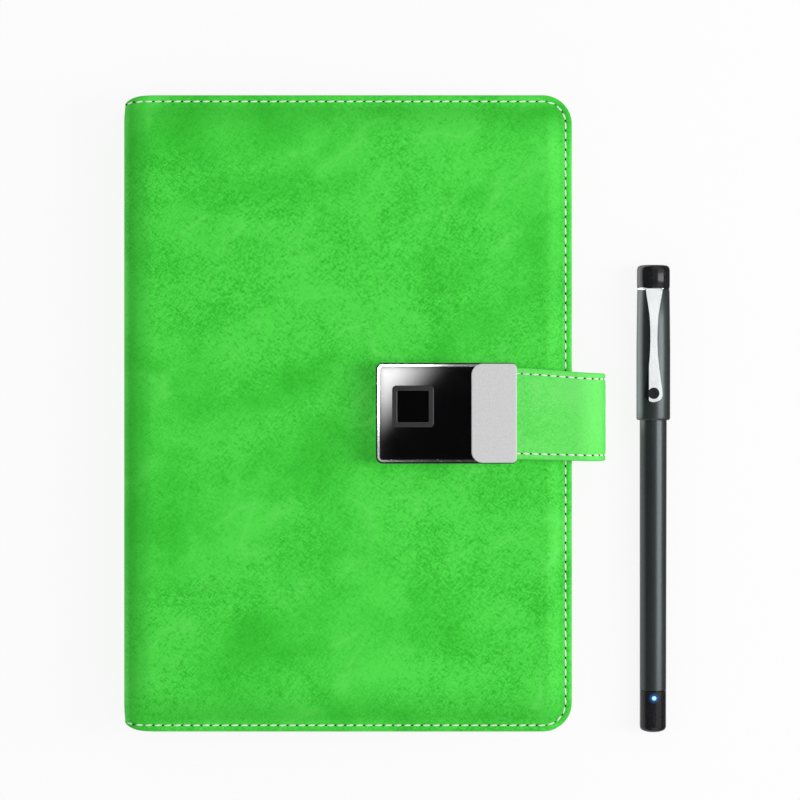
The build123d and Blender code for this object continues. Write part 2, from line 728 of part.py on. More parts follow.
def lock_inside():
    """Circuit board, cell, charging socket, backing plate and screws of the lock."""
    left = lock_left + lock_wall + 2 * lock_fit
    half = lock_width / 2 - lock_wall - 2 * lock_fit
    low = lock_base_z + lock_floor + lock_pcb_standoff
    high = low + lock_pcb_thickness
    board = Pos(0, 0, low) * extrude(lock_plan(lock_wall + 2 * lock_fit), lock_pcb_thickness)
    board &= block(left, left + lock_pcb_length, -lock_width, lock_width, low, high)
    board -= screw_shafts(low - cut_over, high + cut_over, boss_radius + lock_fit)
    board -= socket_shell(lock_fit, lock_centre_y - lock_width / 2)
    foot = Box(lock_pcb_foot, lock_pcb_foot, lock_pcb_standoff)
    for y in (lock_pcb_foot_inset - half, half - lock_pcb_foot_inset):
        board += Pos(left + lock_pcb_length / 2, lock_centre_y + y, low - lock_pcb_standoff / 2) * foot
    save(board, "lock_circuit_board")
    cell_x, cell_y = lock_battery
    cell_z = lock_top_z - sensor_recess - sensor_depth - lock_battery_gap - high
    middle_x = lock_left + sensor_from_left - lock_battery_left
    middle_y = lock_centre_y - half + lock_battery_inset + cell_y / 2
    cell = Pos(middle_x, middle_y, high + cell_z / 2) * Box(cell_x, cell_y, cell_z)
    save(fillet(cell.edges().filter_by(Axis.X), lock_battery_edge), "lock_battery")
    front = lock_centre_y - lock_width / 2
    shell = socket_shell(0, front)
    hollow = Pos(0, -2 * socket_wall, 0) * socket_shell(-socket_wall, front - cut_over)
    save(shell - hollow, "charging_socket")
    head_low = front_base + lining_thickness
    head_high = head_low + backing_plate_thickness
    plate = backing_outline(head_low, head_high, 0)
    cones = None
    screws = None
    screw_top = lock_base_z + boss_height - screw_short
    for x, y in screw_points():
        head_place = Pos(x, y, (head_low + head_high) / 2)
        head = head_place * Cone(screw_head_radius, screw_radius, backing_plate_thickness)
        seat_radii = (screw_head_radius + screw_gap, screw_radius + screw_gap)
        seat = head_place * Cone(*seat_radii, backing_plate_thickness)
        shaft = Pos(x, y, (head_high + screw_top) / 2) * Cylinder(screw_radius, screw_top - head_high)
        cones = seat if cones is None else cones + seat
        screws = head + shaft if screws is None else screws + (head + shaft)
    save(plate - cones, "lock_backing_plate")
    save(screws, "lock_screws")


# Pen, along its own axis from the tail at zero
def pen_body():
    """Barrel, nose, tail, indicator and the pieces inside."""
    inner = barrel_radius - barrel_wall
    fit = inner - spigot_gap
    bore = refill_radius + refill_running_gap
    barrel = turned([
        (inner, tail_length),
        (barrel_tail_radius, tail_length),
        (barrel_radius, cap_mouth),
        (barrel_radius, nose_start),
        (inner, nose_start),
    ])
    save(pen_place * barrel, "pen_barrel")
    nose_root = nose_start - spigot_length
    waist_radius = barrel_radius - nose_waist
    waist_end = nose_start + nose_waist_length
    nose = turned([
        (bore, nose_root),
        (fit, nose_root),
        (fit, nose_start),
        (barrel_radius - nose_step, nose_start),
        (waist_radius, waist_end),
        (nose_tip_radius, nose_end),
        (bore, nose_end),
    ])
    slope = (waist_radius - nose_tip_radius) / (nose_end - waist_end)
    camera_s = nose_end - camera_from_tip
    camera_r = nose_tip_radius + slope * camera_from_tip
    window_top = -(bore + camera_floor)
    window_low = -camera_r + camera_recess
    hole_low = -camera_r - cut_over
    window = Cylinder(camera_radius, window_top - window_low)
    window = Pos(0, camera_s, (window_top + window_low) / 2) * window
    hole = Cylinder(camera_radius, window_top - hole_low)
    hole = Pos(0, camera_s, (window_top + hole_low) / 2) * hole
    save(pen_place * (nose - hole), "pen_nose")
    save(pen_place * window, "camera_window")
    tail_root = tail_length + spigot_length
    tail = turned([
        (0, 0),
        (tail_flat_radius, 0),
        (barrel_tail_radius - turned_edge, tail_round),
        (barrel_tail_radius, tail_chamfer),
        (barrel_tail_radius, tail_length),
        (fit, tail_length),
        (fit, tail_root),
        (0, tail_root),
    ])
    led_top = barrel_tail_radius + led_rise
    led = Pos(0, led_from_tail, led_top - led_depth / 2) * Cylinder(led_radius, led_depth)
    tail -= Pos(0, led_from_tail, led_top) * Cylinder(led_radius, 2 * led_depth)
    save(pen_place * tail, "pen_tail")
    save(pen_place * fillet(led.faces().sort_by(Axis.Z)[-1].edges(), led_edge), "indicator_lens")
    tip_end = nose_end + refill_tip
    refill_start = tip_end - refill_length
    refill = turned([
        (0, refill_start),
        (refill_radius, refill_start),
        (refill_radius, nose_end + refill_shoulder),
        (refill_ball, tip_end - refill_cone),
        (0, tip_end),
    ])
    save(pen_place * refill, "pen_refill")
    disc_end = refill_start - refill_travel - sensor_gap
    save(pen_place * rod(disc_end - sensor_disc, disc_end, fit), "force_sensor")
    battery_start = tail_root + pen_battery_gap
    battery = rod(battery_start, battery_start + pen_battery_length, pen_battery_radius)
    save(pen_place * battery, "pen_battery")
    width, length, thickness = pen_pcb
    board_end = nose_root - pen_pcb_gap
    board_start = board_end - length
    board = block(-width / 2, width / 2, board_start, board_end, -pen_pcb_drop, thickness - pen_pcb_drop)
    save(pen_place * board, "pen_circuit_board")


def clip_plan():
    """Plan of the clip: a waisted strip that swells to a round end."""
    right_side = [(width / 2, clip_start - along) for along, width in clip_widths]
    left_side = [(-x, y) for x, y in reversed(right_side)]
    tip = ThreePointArc(right_side[-1], (0, clip_end), left_side[0])
    head = Line(left_side[-1], right_side[0])
    return make_face(Spline(*right_side) + tip + Spline(*left_side) + head)


def pen_cap():
    """Cap tube, ring, domed end, liner, clip and its dark inlay."""
    end_start = pen_length - cap_end_length
    ring_start = end_start - cap_ring_length
    ring_radius = cap_top_radius + cap_ring_rise
    bore = cap_radius - cap_wall
    neck = bore - cap_shoulder
    shoulder_start = ring_start - cap_shoulder_length
    outside = [
        (cap_radius - cap_lip_depth, cap_mouth),
        (cap_radius, cap_mouth + cap_lip),
        (cap_radius, ring_start - cap_taper_length),
        (cap_top_radius + cap_ring_rise, ring_start),
    ]
    inside = [(neck, ring_start), (neck, shoulder_start), (bore, shoulder_start - 2 * cap_shoulder)]
    save(pen_place * turned([(bore, cap_mouth)] + outside + inside), "cap_tube")
    stem = neck - cap_stem_gap
    stem_start = ring_start - cap_stem_length
    side_step, rim_step, crown_step = cap_dome_steps
    cap_end = turned([
        (0, stem_start),
        (stem, stem_start),
        (stem, end_start),
        (cap_top_radius, end_start),
        (cap_top_radius - side_step, pen_length - cap_dome),
        (cap_top_radius - rim_step, pen_length - turned_edge),
        (cap_top_radius - crown_step, pen_length),
        (0, pen_length),
    ])
    save(pen_place * cap_end, "cap_end")
    save(pen_place * tube(ring_start, end_start, ring_radius, stem + spigot_gap), "cap_ring")
    liner_start = nose_start + liner_from_nose
    liner = tube(liner_start, liner_start + liner_length, bore - spigot_gap, bore - liner_wall)
    save(pen_place * liner, "cap_liner")
    clip_low = cap_radius + clip_gap
    clip_high = clip_low + clip_thickness
    half_root = clip_widths[0][1] / 2
    strip = Pos(0, 0, clip_low) * extrude(clip_plan(), clip_thickness)
    root = block(-half_root, half_root, clip_start - clip_root_length, clip_start, neck, clip_high)
    dimple_y = clip_end + inlay_from_end
    dimple = Pos(0, dimple_y, clip_low) * Cylinder(inlay_radius, 4 * clip_thickness)
    under = turned([(0, cap_mouth)] + outside + [(0, ring_start)])
    clip = strip + root - dimple - under - rod(ring_start, end_start, ring_radius)
    save(pen_place * clip, "cap_clip")
    inlay_low = cap_radius + inlay_gap
    inlay_high = clip_high + inlay_rise
    inlay = Pos(0, dimple_y, (inlay_low + inlay_high) / 2) * Cylinder(inlay_radius, inlay_high - inlay_low)
    inlay = fillet(inlay.faces().sort_by(Axis.Z)[-1].edges(), inlay_edge)
    save(pen_place * inlay, "clip_inlay")


os.makedirs("parts", exist_ok=True)
front_cover()
back_cover()
spine()
pockets()
inner_book()
strap()
lock_housing()
lock_base()
lock_face()
motor_and_pinion()
latch()
lock_inside()
pen_body()
pen_cap()
print("cover thickness", round(cover_thickness, 3), "closed thickness", round(total_thickness, 3))
print("hinges", round(spine_x + hinge_inset, 4), round(spine_hinge_z, 4), round(front_hinge_z, 4))
print("strap pivot", round(strap_crown_x - strap_thickness / 2, 4), round(strap_split_z, 4))
print("pinion axis", round(gear_x, 4), round(gear_y, 4), round(gear_z, 4), "radius", round(gear_radius, 4))
print("pen tilt in degrees", round(pen_tilt, 5), "page hinge", round(page_x, 4), round(mid_height, 4))
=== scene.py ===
import json
import math
import random

import bmesh
import bpy
from bpy.props import FloatProperty, FloatVectorProperty, PointerProperty
from mathutils import Matrix, Vector, noise


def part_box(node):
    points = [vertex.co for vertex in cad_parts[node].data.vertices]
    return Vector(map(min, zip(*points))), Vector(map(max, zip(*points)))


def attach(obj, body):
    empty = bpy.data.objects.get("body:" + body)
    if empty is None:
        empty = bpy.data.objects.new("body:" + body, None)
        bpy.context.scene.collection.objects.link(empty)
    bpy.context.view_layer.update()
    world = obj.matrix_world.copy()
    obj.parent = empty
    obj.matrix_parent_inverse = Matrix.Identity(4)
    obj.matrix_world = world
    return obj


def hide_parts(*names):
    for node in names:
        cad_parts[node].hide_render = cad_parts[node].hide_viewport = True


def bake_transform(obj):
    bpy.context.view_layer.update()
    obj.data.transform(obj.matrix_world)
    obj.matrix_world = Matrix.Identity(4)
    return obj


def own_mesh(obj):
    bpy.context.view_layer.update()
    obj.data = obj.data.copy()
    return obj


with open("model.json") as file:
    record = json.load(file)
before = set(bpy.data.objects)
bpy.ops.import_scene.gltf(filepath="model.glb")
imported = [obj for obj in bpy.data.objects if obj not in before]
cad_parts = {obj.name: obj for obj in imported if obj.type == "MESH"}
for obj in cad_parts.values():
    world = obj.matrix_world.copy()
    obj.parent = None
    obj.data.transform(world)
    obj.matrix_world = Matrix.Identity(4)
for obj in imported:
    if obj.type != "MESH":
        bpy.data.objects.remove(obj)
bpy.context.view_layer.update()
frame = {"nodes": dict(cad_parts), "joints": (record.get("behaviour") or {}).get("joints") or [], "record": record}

bl_info = {
    "name": "Smart Notebook Dressing",
    "version": (1, 0, 0),
    "blender": (4, 5, 0),
    "location": "3D View > Sidebar > Notebook",
    "description": "Leather, stitching, pages, fingerprint lock and pen of a smart notebook",
    "category": "Add Mesh",
}

MM = 0.001
MM_PER_METRE = 1000.0
UP = Vector((0.0, 0.0, 1.0))
BLACK = (0.0, 0.0, 0.0)
WHITE = (1.0, 1.0, 1.0)

# Lines and levels of the case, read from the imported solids
SPINE_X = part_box("spine_leather")[0].x
HINGE_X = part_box("front_leather")[0].x
FORE_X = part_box("front_leather")[1].x
HEAD_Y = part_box("front_leather")[1].y
CASE_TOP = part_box("front_leather")[1].z
CASE_MIDDLE = CASE_TOP / 2
SHOULDER = HINGE_X - SPINE_X

# Corner radius of the lock's outline, and the least height of the back leather over the table
LOCK_CORNER = 2.4 * MM
TABLE_GAP = 0.01 * MM


def colour_property(name, description, default):
    """A colour that a user may change."""
    return FloatVectorProperty(name=name, description=description, default=default,
                               subtype="COLOR", size=3, min=0.0, max=1.0)


def length_property(name, description, default):
    """A length that a user may change, given in millimetres and kept in metres."""
    return FloatProperty(name=name, description=description, default=default * MM,
                         min=0.0, unit="LENGTH", precision=5)


def amount_property(name, description, default, least=0.0, unit="NONE"):
    """A plain number that a user may change."""
    return FloatProperty(name=name, description=description, default=default, min=least, unit=unit)


class NotebookCaseSettings(bpy.types.PropertyGroup):
    """Sizes and colours of the leather case, its stitching and the strap."""

    leather_dark: colour_property("Leather dark", "Pressed, waxy patches", (0.022, 0.500, 0.017))
    leather_middle: colour_property("Leather middle", "Colour of most of the leather", (0.040, 0.635, 0.033))
    leather_light: colour_property("Leather light", "Pulled, lighter patches", (0.076, 0.770, 0.064))
    strap_colour: colour_property("Strap", "Newer, paler leather of the strap", (0.135, 0.840, 0.118))
    lining_colour: colour_property("Lining", "Suede of the linings", (0.030, 0.250, 0.035))
    thread_colour: colour_property("Thread", "Sewing thread", (0.86, 0.95, 0.84))
    corner_radius: length_property("Corner radius", "Rounding of the fore-edge corners in plan", 10.0)
    border_width: length_property("Border width", "Flat sewn border outside the padding", 3.6)
    pad_drop: length_property("Pad height", "How far the padding stands above the border", 2.0)
    pad_fill: FloatProperty(name="Pad fill", description="How full the padding is, from slack to tight",
                            default=0.5, min=0.0, max=1.0, subtype="FACTOR")
    pad_slope: length_property("Pad slope", "Width over which the padding rises", 5.4)
    edge_thickness: length_property("Edge thickness", "Thickness of the folded, sewn edge", 2.2)
    turn_in: length_property("Turn-in", "Width of leather folded under the edge", 5.2)
    leather_thickness: length_property("Leather thickness", "One layer of leather", 0.9)
    stitch_inset: length_property("Stitch inset", "From the edge to the seam", 2.25)
    stitch_pitch: length_property("Stitch pitch", "From one needle hole to the next", 3.3)
    thread_width: length_property("Thread width", "Width of one sewn thread", 0.62)
    groove_depth: length_property("Groove depth", "How far the seam pulls the leather in", 0.28)
    hinge_fall: length_property("Hinge fall", "How far the padding falls towards the hinge", 0.3)
    hinge_slope: length_property("Hinge slope", "Length over which the padding falls to the hinge", 6.0)
    end_pull: length_property("End pull", "How far the edge draws in where it meets the spine", 3.2)
    strap_stitch_inset: length_property("Strap stitch inset", "From the strap's edge to its seam", 2.05)
    strap_drift: length_property("Strap drift", "How far the strap runs off square at its bend", 1.3)
    strap_taper: length_property("Strap taper", "Width lost from the lock to the bend", 1.2)


class NotebookLockSettings(bpy.types.PropertyGroup):
    """Colours and edges of the fingerprint lock."""

    chrome_colour: colour_property("Chrome", "Plated frame", (0.80, 0.82, 0.83))
    plate_colour: colour_property("End plate", "Pale satin plate over the strap's slot", (0.70, 0.70, 0.71))
    sensor_metal: colour_property("Sensor frame", "Dark metal round the sensor", (0.030, 0.030, 0.031))
    edge_bevel: length_property("Edge bevel", "Rounding of the glass's edge", 0.14)


class NotebookPenSettings(bpy.types.PropertyGroup):
    """Colours of the pen."""

    satin_colour: colour_property("Satin barrel", "Lacquer of the barrel and cap", (0.050, 0.062, 0.064))
    gloss_colour: colour_property("Gloss ends", "Black ends of the pen", (0.006, 0.006, 0.008))
    light_colour: colour_property("Indicator", "Light in the tail", (0.05, 0.32, 1.0))


class NotebookStageSettings(bpy.types.PropertyGroup):
    """Camera, floor and lamps."""

    camera_x: length_property("Camera X", "Camera over the set, not over the book alone", 18.0)
    camera_y: length_property("Camera Y", "Camera place along the spine", 4.6)
    camera_height: length_property("Camera height", "Height above the table", 1000.0)
    lens: amount_property("Lens", "Focal length in millimetres", 128.0, least=1.0)
    floor_size: length_property("Floor size", "Side of the plain floor", 6000.0)
    key_power: amount_property("Key power", "Watts of the strip lamp on the right", 6.6, unit="POWER")
    fill_power: amount_property("Fill power", "Watts of the strip lamp on the left", 0.2, unit="POWER")
    sky_level: amount_property("Sky level", "World light on the object", 0.62)
    flag_height: length_property("Flag height", "Height of the dark flag that the gloss reflects", 1030.0)
    flag_level: amount_property("Flag level", "Light of the flag over the pen", 0.22)


# Materials
def operator_pair(operation):
    """An operator between signals or numbers and its reflected form, each of which adds one Math node."""

    def forward(signal, other):
        return signal.finish.maths(operation, signal, other)

    def reflected(signal, other):
        return signal.finish.maths(operation, other, signal)

    return forward, reflected


class Signal:
    """One output socket of a material, which takes arithmetic."""

    __add__, __radd__ = operator_pair("ADD")
    __sub__, __rsub__ = operator_pair("SUBTRACT")
    __mul__, __rmul__ = operator_pair("MULTIPLY")
    __truediv__, __rtruediv__ = operator_pair("DIVIDE")
    __pow__, __rpow__ = operator_pair("POWER")

    def __init__(self, finish, socket):
        self.finish = finish
        self.socket = socket

    def __abs__(self):
        return self.finish.maths("ABSOLUTE", self)

    def ridge(self):
        """1 along the middle value of a noise, falling to 0 away from it."""
        return 1.0 - abs(self - 0.5) * 2.0

    def clear(self, low, high):
        """The signal stretched so that low becomes 0 and high becomes 1, with smooth ends."""
        settings = {"interpolation_type": "SMOOTHSTEP"}
        sockets = {"Value": self, "From Min": low, "From Max": high}
        return self.finish.node("ShaderNodeMapRange", settings, sockets)


class Finish:
    """One procedural material while its nodes are put together."""

    def __init__(self, made):
        self.material = bpy.data.materials.new(made) if isinstance(made, str) else made
        self.material.use_nodes = True
        self.tree = self.material.node_tree
        self.tree.nodes.clear()

    def node(self, kind, settings=None, sockets=None, output=0):
        """Add a node, its settings first and then its sockets, and return one of its outputs."""
        made = self.tree.nodes.new(kind)
        for key, value in (settings or {}).items():
            if key == "stops":
                self.set_stops(made.color_ramp, value)
            else:
                setattr(made, key, value)
        for key, value in (sockets or {}).items():
            socket = made.inputs[key]
            if isinstance(value, Signal):
                self.tree.links.new(value.socket, socket)
            elif hasattr(value, "__len__"):
                room = len(socket.default_value)
                socket.default_value = list(value) + [1.0] * (room - len(value))
            else:
                socket.default_value = value
        return Signal(self, made.outputs[output]) if len(made.outputs) else None

    def set_stops(self, ramp, stops):
        """Give a colour ramp its stops."""
        while len(ramp.elements) < len(stops):
            ramp.elements.new(1.0)
        for element, (position, colour) in zip(ramp.elements, stops):
            element.position = position
            element.color = list(colour) + [1.0]

    def maths(self, operation, *values):
        """A Math node on values or signals."""
        return self.node("ShaderNodeMath", {"operation": operation}, dict(enumerate(values)))

    def coordinates(self):
        """Object coordinates, in metres."""
        return self.node("ShaderNodeTexCoord", output="Object")

    def axis(self, name):
        """One Object coordinate, X, Y or Z, in metres."""
        return self.node("ShaderNodeSeparateXYZ", None, {0: self.coordinates()}, output=name)

    def place(self, turn=0.0, longer=(1.0, 1.0, 1.0)):
        """Object coordinates, turned in plan by degrees, on which a pattern is drawn out along each axis."""
        sockets = {"Vector": self.coordinates(), "Rotation": (0.0, 0.0, math.radians(turn)), "Scale": longer}
        return self.node("ShaderNodeMapping", {"vector_type": "TEXTURE"}, sockets)

    def noise(self, place, per_metre, detail=3.0, roughness=0.55, distortion=0.0):
        """Cloudy noise from 0 to 1, with so many features to a metre."""
        sockets = {"Vector": place, "Scale": per_metre, "Detail": detail,
                   "Roughness": roughness, "Distortion": distortion}
        return self.node("ShaderNodeTexNoise", None, sockets)

    def blend(self, mask, first, second):
        """Mix two colours by a mask."""
        return self.node("ShaderNodeMix", {"data_type": "RGBA"}, {0: mask, 6: first, 7: second}, output=2)

    def ramp(self, signal, stops):
        """Colours along a signal."""
        return self.node("ShaderNodeValToRGB", {"stops": stops}, {0: signal})

    def tones(self, signal, colour, low, darker, high, lighter=0.0):
        """One colour along a signal: mixed with black up to low, and with white from high."""
        return self.ramp(signal, ((low, mixed(colour, BLACK, darker)), (high, mixed(colour, WHITE, lighter))))

    def smears(self):
        """Faint smears, longer along the piece."""
        return self.noise(self.place(20.0, (1.0, 3.0, 1.0)), 260.0, 4.0, 0.6)

    def bump(self, height, strength, depth):
        """Surface relief from a height signal, with its depth in millimetres."""
        sockets = {"Strength": strength, "Distance": depth * MM, "Height": height}
        return self.node("ShaderNodeBump", None, sockets)

    def surface(self, **sockets):
        """End the material in one Principled surface."""
        named = {key.replace("_", " ").title().replace("Ior", "IOR"): value for key, value in sockets.items()}
        shader = self.node("ShaderNodeBsdfPrincipled", None, named)
        self.node("ShaderNodeOutputMaterial", None, {"Surface": shader})
        return self.material


def mixed(first, second, share):
    """A colour between two others, worked out as numbers."""
    return tuple(a + (b - a) * share for a, b in zip(first, second))


def waxed_leather(name, dark, middle, light, shaded_slopes=False, shaded_bend=False):
    """Waxed leather: soft clouds, a fine crackle that comes and goes, and pale creases from pulling."""
    finish = Finish(name)
    # Means of the two patterns, so that the tone stays centred on the middle colour
    usual_cloud, usual_crackle = 0.505, 0.48
    clouds = finish.noise(finish.place(), 42.0, 2.5, 0.5, 0.4)
    patches = finish.noise(finish.place(20.0, (1.6, 1.0, 1.0)), 27.0, 2.0, 0.5, 0.6).clear(0.34, 0.64)
    rising = finish.noise(finish.place(-42.0, (1.0, 3.4, 1.0)), 1150.0, 2.0, 0.6, 0.9)
    falling = finish.noise(finish.place(52.0, (1.0, 3.0, 1.0)), 1050.0, 2.0, 0.6, 0.9)
    crackle = (rising.ridge() ** 4.0 + falling.ridge() ** 4.0) * 0.5
    depth = patches * 0.45 + 0.35
    tone = (clouds - usual_cloud) * 0.60 + (crackle - usual_crackle) * depth * 0.72 + 0.5
    colour = finish.ramp(tone, ((0.34, dark), (0.50, middle), (0.66, light)))
    pulled = finish.noise(finish.place(-50.0, (1.0, 2.6, 1.0)), 34.0, 1.5, 0.5, 0.7)
    wide = pulled.ridge() ** 18.0 * clouds.clear(0.42, 0.60)
    fine = finish.noise(finish.place(-62.0, (1.0, 1.8, 1.0)), 52.0, 2.5, 0.55, 1.1)
    scored = fine.ridge() ** 60.0 * patches
    crease = wide * 0.42 + scored * 0.36
    pale_green = (0.35, 1.0, 0.30)
    colour = finish.blend(crease.clear(0.0, 1.0), colour, mixed(light, pale_green, 0.22))
    # Painted shade: darker along the hinge and over the padding's head and foot slopes, which face away from the
    # lamps.
    if shaded_slopes:
        colour = finish.blend(painted_slope_shade(finish) * 0.52, colour, mixed(dark, BLACK, 0.30))
    # Painted shade: darker where the strap bends round the fore-edge towards the key lamp.
    if shaded_bend:
        colour = finish.blend(painted_bend_shade(finish) * 0.45, colour, dark)
    height = crackle * 0.8 * depth + crease * 0.35
    rough = 0.60 - clouds * 0.10 + crackle * 0.08
    return finish.surface(base_color=colour, roughness=rough, specular_ior_level=0.28,
                          normal=finish.bump(height, 0.40, 0.14))


def painted_slope_shade(finish):
    """Painted shade mask: 1 along the hinge, where the padding falls away from the key lamp, half over the
    padding's head and foot slopes, 0 elsewhere.
    """
    ends = [HEAD_Y - inset * MM for inset in (17.0, 5.0, 2.6)]
    hinge = [HINGE_X + offset * MM for offset in (5.0, -1.2, -4.6)]
    return finish.maths("MAXIMUM", band(abs(finish.axis("Y")), *ends) * 0.50, band(finish.axis("X"), *hinge))


def painted_bend_shade(finish):
    """Painted shade mask: rises to 1 where the strap bends round the fore-edge, darkening the bend that the key
    lamp lights.
    """
    return finish.axis("X").clear(FORE_X - 12.0 * MM, FORE_X + 8.0 * MM)


def band(signal, start, full, stop):
    """Rises softly from start to full, and falls softly to nothing at stop."""
    soft = abs(full - start) * 0.20
    sign = 1.0 if full > start else -1.0
    rise = (signal * sign).clear(start * sign, full * sign)
    fall = (signal * sign).clear(stop * sign - soft, stop * sign + soft * 0.4)
    return rise * (1.0 - fall)


def suede(name, colour):
    """Short-napped suede."""
    finish = Finish(name)
    nap = finish.noise(finish.place(), 900.0, 4.0, 0.7)
    brushed = finish.noise(finish.place(25.0, (1.0, 2.5, 1.0)), 90.0, 3.0)
    shade = finish.tones(nap * 0.5 + brushed * 0.5, colour, 0.38, 0.35, 0.64, 0.12)
    return finish.surface(base_color=shade, roughness=0.86 + nap * 0.1, specular_ior_level=0.2,
                          sheen_weight=0.35, sheen_roughness=0.5, normal=finish.bump(nap, 0.5, 0.12))


def leaf_edges(name, colour, leaves_per_metre):
    """Cut edges of many leaves, one over another."""
    finish = Finish(name)
    flat = finish.place(0.0, (50.0, 50.0, 1.0))
    leaves = finish.noise(flat, leaves_per_metre, 2.0, 0.7)
    fibre = finish.noise(finish.place(), 700.0, 3.0, 0.6)
    shadow = mixed(colour, (0.25, 0.22, 0.17), 0.45)
    shade = finish.ramp(leaves * 0.75 + fibre * 0.25, ((0.34, shadow), (0.56, colour)))
    return finish.surface(base_color=shade, roughness=0.9 - fibre * 0.08, specular_ior_level=0.2,
                          normal=finish.bump(leaves, 0.6, 0.12))


def plain_paper(name, colour):
    """Face of one uncoated leaf, with the faintest cloud of its fibres."""
    finish = Finish(name)
    fibre = finish.noise(finish.place(), 900.0, 4.0, 0.6)
    cloud = finish.noise(finish.place(), 45.0, 2.0)
    fleck = mixed(colour, (0.5, 0.47, 0.40), 0.07)
    shade = finish.ramp(fibre * 0.6 + cloud * 0.4, ((0.3, fleck), (0.7, colour)))
    return finish.surface(base_color=shade, roughness=0.92 - fibre * 0.05, specular_ior_level=0.2,
                          normal=finish.bump(fibre, 0.2, 0.03))


def card_finish(name, colour, fleck):
    """Board or card with fibres and flecks."""
    finish = Finish(name)
    fibre = finish.noise(finish.place(15.0, (1.0, 2.8, 1.0)), 700.0, 5.0, 0.7)
    shade = finish.ramp(fibre, ((0.36, fleck), (0.55, colour)))
    return finish.surface(base_color=shade, roughness=0.84 + fibre * 0.08, specular_ior_level=0.25,
                          normal=finish.bump(fibre, 0.3, 0.08))


def woven_cloth(name, colour):
    """Plain binding cloth with crossing threads."""
    finish = Finish(name)
    threads = {"Vector": finish.place(), "Scale": 520.0}
    across, along = (finish.node("ShaderNodeTexWave", {"bands_direction": way}, threads)
                     for way in ("Y", "Z"))
    weave = across * 0.5 + along * 0.5
    shade = finish.tones(weave, colour, 0.1, 0.35, 0.8)
    return finish.surface(base_color=shade, roughness=0.85 + weave * 0.06, specular_ior_level=0.2,
                          normal=finish.bump(weave, 0.6, 0.15))


def sewing_thread(name, colour):
    """Twisted polyester thread."""
    finish = Finish(name)
    twist = finish.noise(finish.place(45.0, (1.0, 2.8, 1.0)), 3600.0, 2.0, 0.5)
    shade = finish.tones(twist, colour, 0.32, 0.22, 0.52)
    return finish.surface(base_color=shade, roughness=0.55 + twist * 0.15, specular_ior_level=0.4,
                          normal=finish.bump(twist, 0.5, 0.06))


def needle_hole_shade(name, colour):
    """Painted shade of a needle hole: dark leather colour on a flat disc where the hole's pit lies in shadow."""
    finish = Finish(name)
    depth = finish.noise(finish.place(), 1800.0, 2.0)
    shade = finish.tones(depth, colour, 0.3, 0.8, 0.7)
    return finish.surface(base_color=shade, roughness=0.8 + depth * 0.1, specular_ior_level=0.1,
                          normal=finish.bump(depth, 0.3, 0.05))


def polished_metal(name, colour, rough, wear=0.03):
    """Plated or polished metal with faint smears that change little but its gloss."""
    finish = Finish(name)
    smear = finish.smears()
    speck = finish.noise(finish.place(), 2400.0, 2.0)
    shade = finish.blend(smear, mixed(colour, BLACK, 0.05), colour)
    return finish.surface(base_color=shade, metallic=1.0, roughness=rough + smear * wear,
                          normal=finish.bump(speck, 0.05, 0.02))


def chrome_with_painted_shade(name, colour, rough):
    """Chrome of the lock's frame, with painted shade: dark at its outer edge and in the glass's groove, bright
    between.
    """
    finish = Finish(name)
    low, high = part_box("lock_housing")

    def corner_reach(axis, start, end):
        place = finish.axis(axis)
        nearest = finish.maths("MINIMUM", place - start, end - place)
        return finish.maths("MAXIMUM", LOCK_CORNER - nearest, 0.0)

    past_x, past_y = corner_reach("X", low.x, high.x), corner_reach("Y", low.y, high.y)
    inward = (LOCK_CORNER - (past_x * past_x + past_y * past_y) ** 0.5) * MM_PER_METRE
    upper = finish.axis("Z").clear(high.z - 1.3 * MM, high.z - 0.9 * MM)
    bright = inward.clear(0.42, 0.62) * (1.0 - inward.clear(1.15, 1.35))
    smear = finish.smears()
    plated = finish.blend(smear, mixed(colour, BLACK, 0.05), colour)
    # Painted shade: the outer chamfer and the groove round the glass take a near-black base colour.
    shade = finish.blend(upper * (1.0 - bright), plated, (0.022, 0.022, 0.024))
    return finish.surface(base_color=shade, metallic=1.0, roughness=rough + smear * 0.03)


def satin_paint(name, colour, rough, metallic=0.5):
    """Dark satin lacquer with a fine metallic grain and a slow drift along the piece."""
    finish = Finish(name)
    flake = finish.noise(finish.place(), 5200.0, 2.0, 0.5)
    drift = finish.noise(finish.place(0.0, (1.0, 6.0, 1.0)), 120.0, 2.0)
    shade = finish.tones(flake * 0.6 + drift * 0.4, colour, 0.35, 0.25, 0.65, 0.01)
    return finish.surface(base_color=shade, metallic=metallic, roughness=rough + flake * 0.05,
                          specular_ior_level=0.5, normal=finish.bump(flake, 0.12, 0.02))


def moulded_plastic(name, colour, rough, gloss=0.45):
    """Moulded plastic with a fine spark-eroded grain."""
    finish = Finish(name)
    grain = finish.noise(finish.place(), 2200.0, 3.0, 0.6)
    shade = finish.tones(grain, colour, 0.3, 0.15, 0.7, 0.04)
    return finish.surface(base_color=shade, roughness=rough + grain * 0.08, specular_ior_level=gloss,
                          normal=finish.bump(grain, 0.25, 0.05))


def black_glass(name):
    """Back-painted glass, black and very smooth, with the faintest smears."""
    finish = Finish(name)
    smear = finish.noise(finish.place(40.0, (1.0, 3.0, 1.0)), 150.0, 4.0, 0.6)
    shade = finish.blend(smear, (0.0015, 0.0015, 0.0018), (0.0030, 0.0030, 0.0036))
    return finish.surface(base_color=shade, roughness=0.02 + smear * 0.03, specular_ior_level=0.5, ior=1.5)


def sensor_surface(name):
    """Matt coated glass of the fingerprint sensor."""
    finish = Finish(name)
    grain = finish.noise(finish.place(), 3000.0, 2.0, 0.5)
    shade = finish.blend(grain, (0.0014, 0.0014, 0.0016), (0.0028, 0.0028, 0.0032))
    return finish.surface(base_color=shade, roughness=0.25 + grain * 0.05, specular_ior_level=0.01)


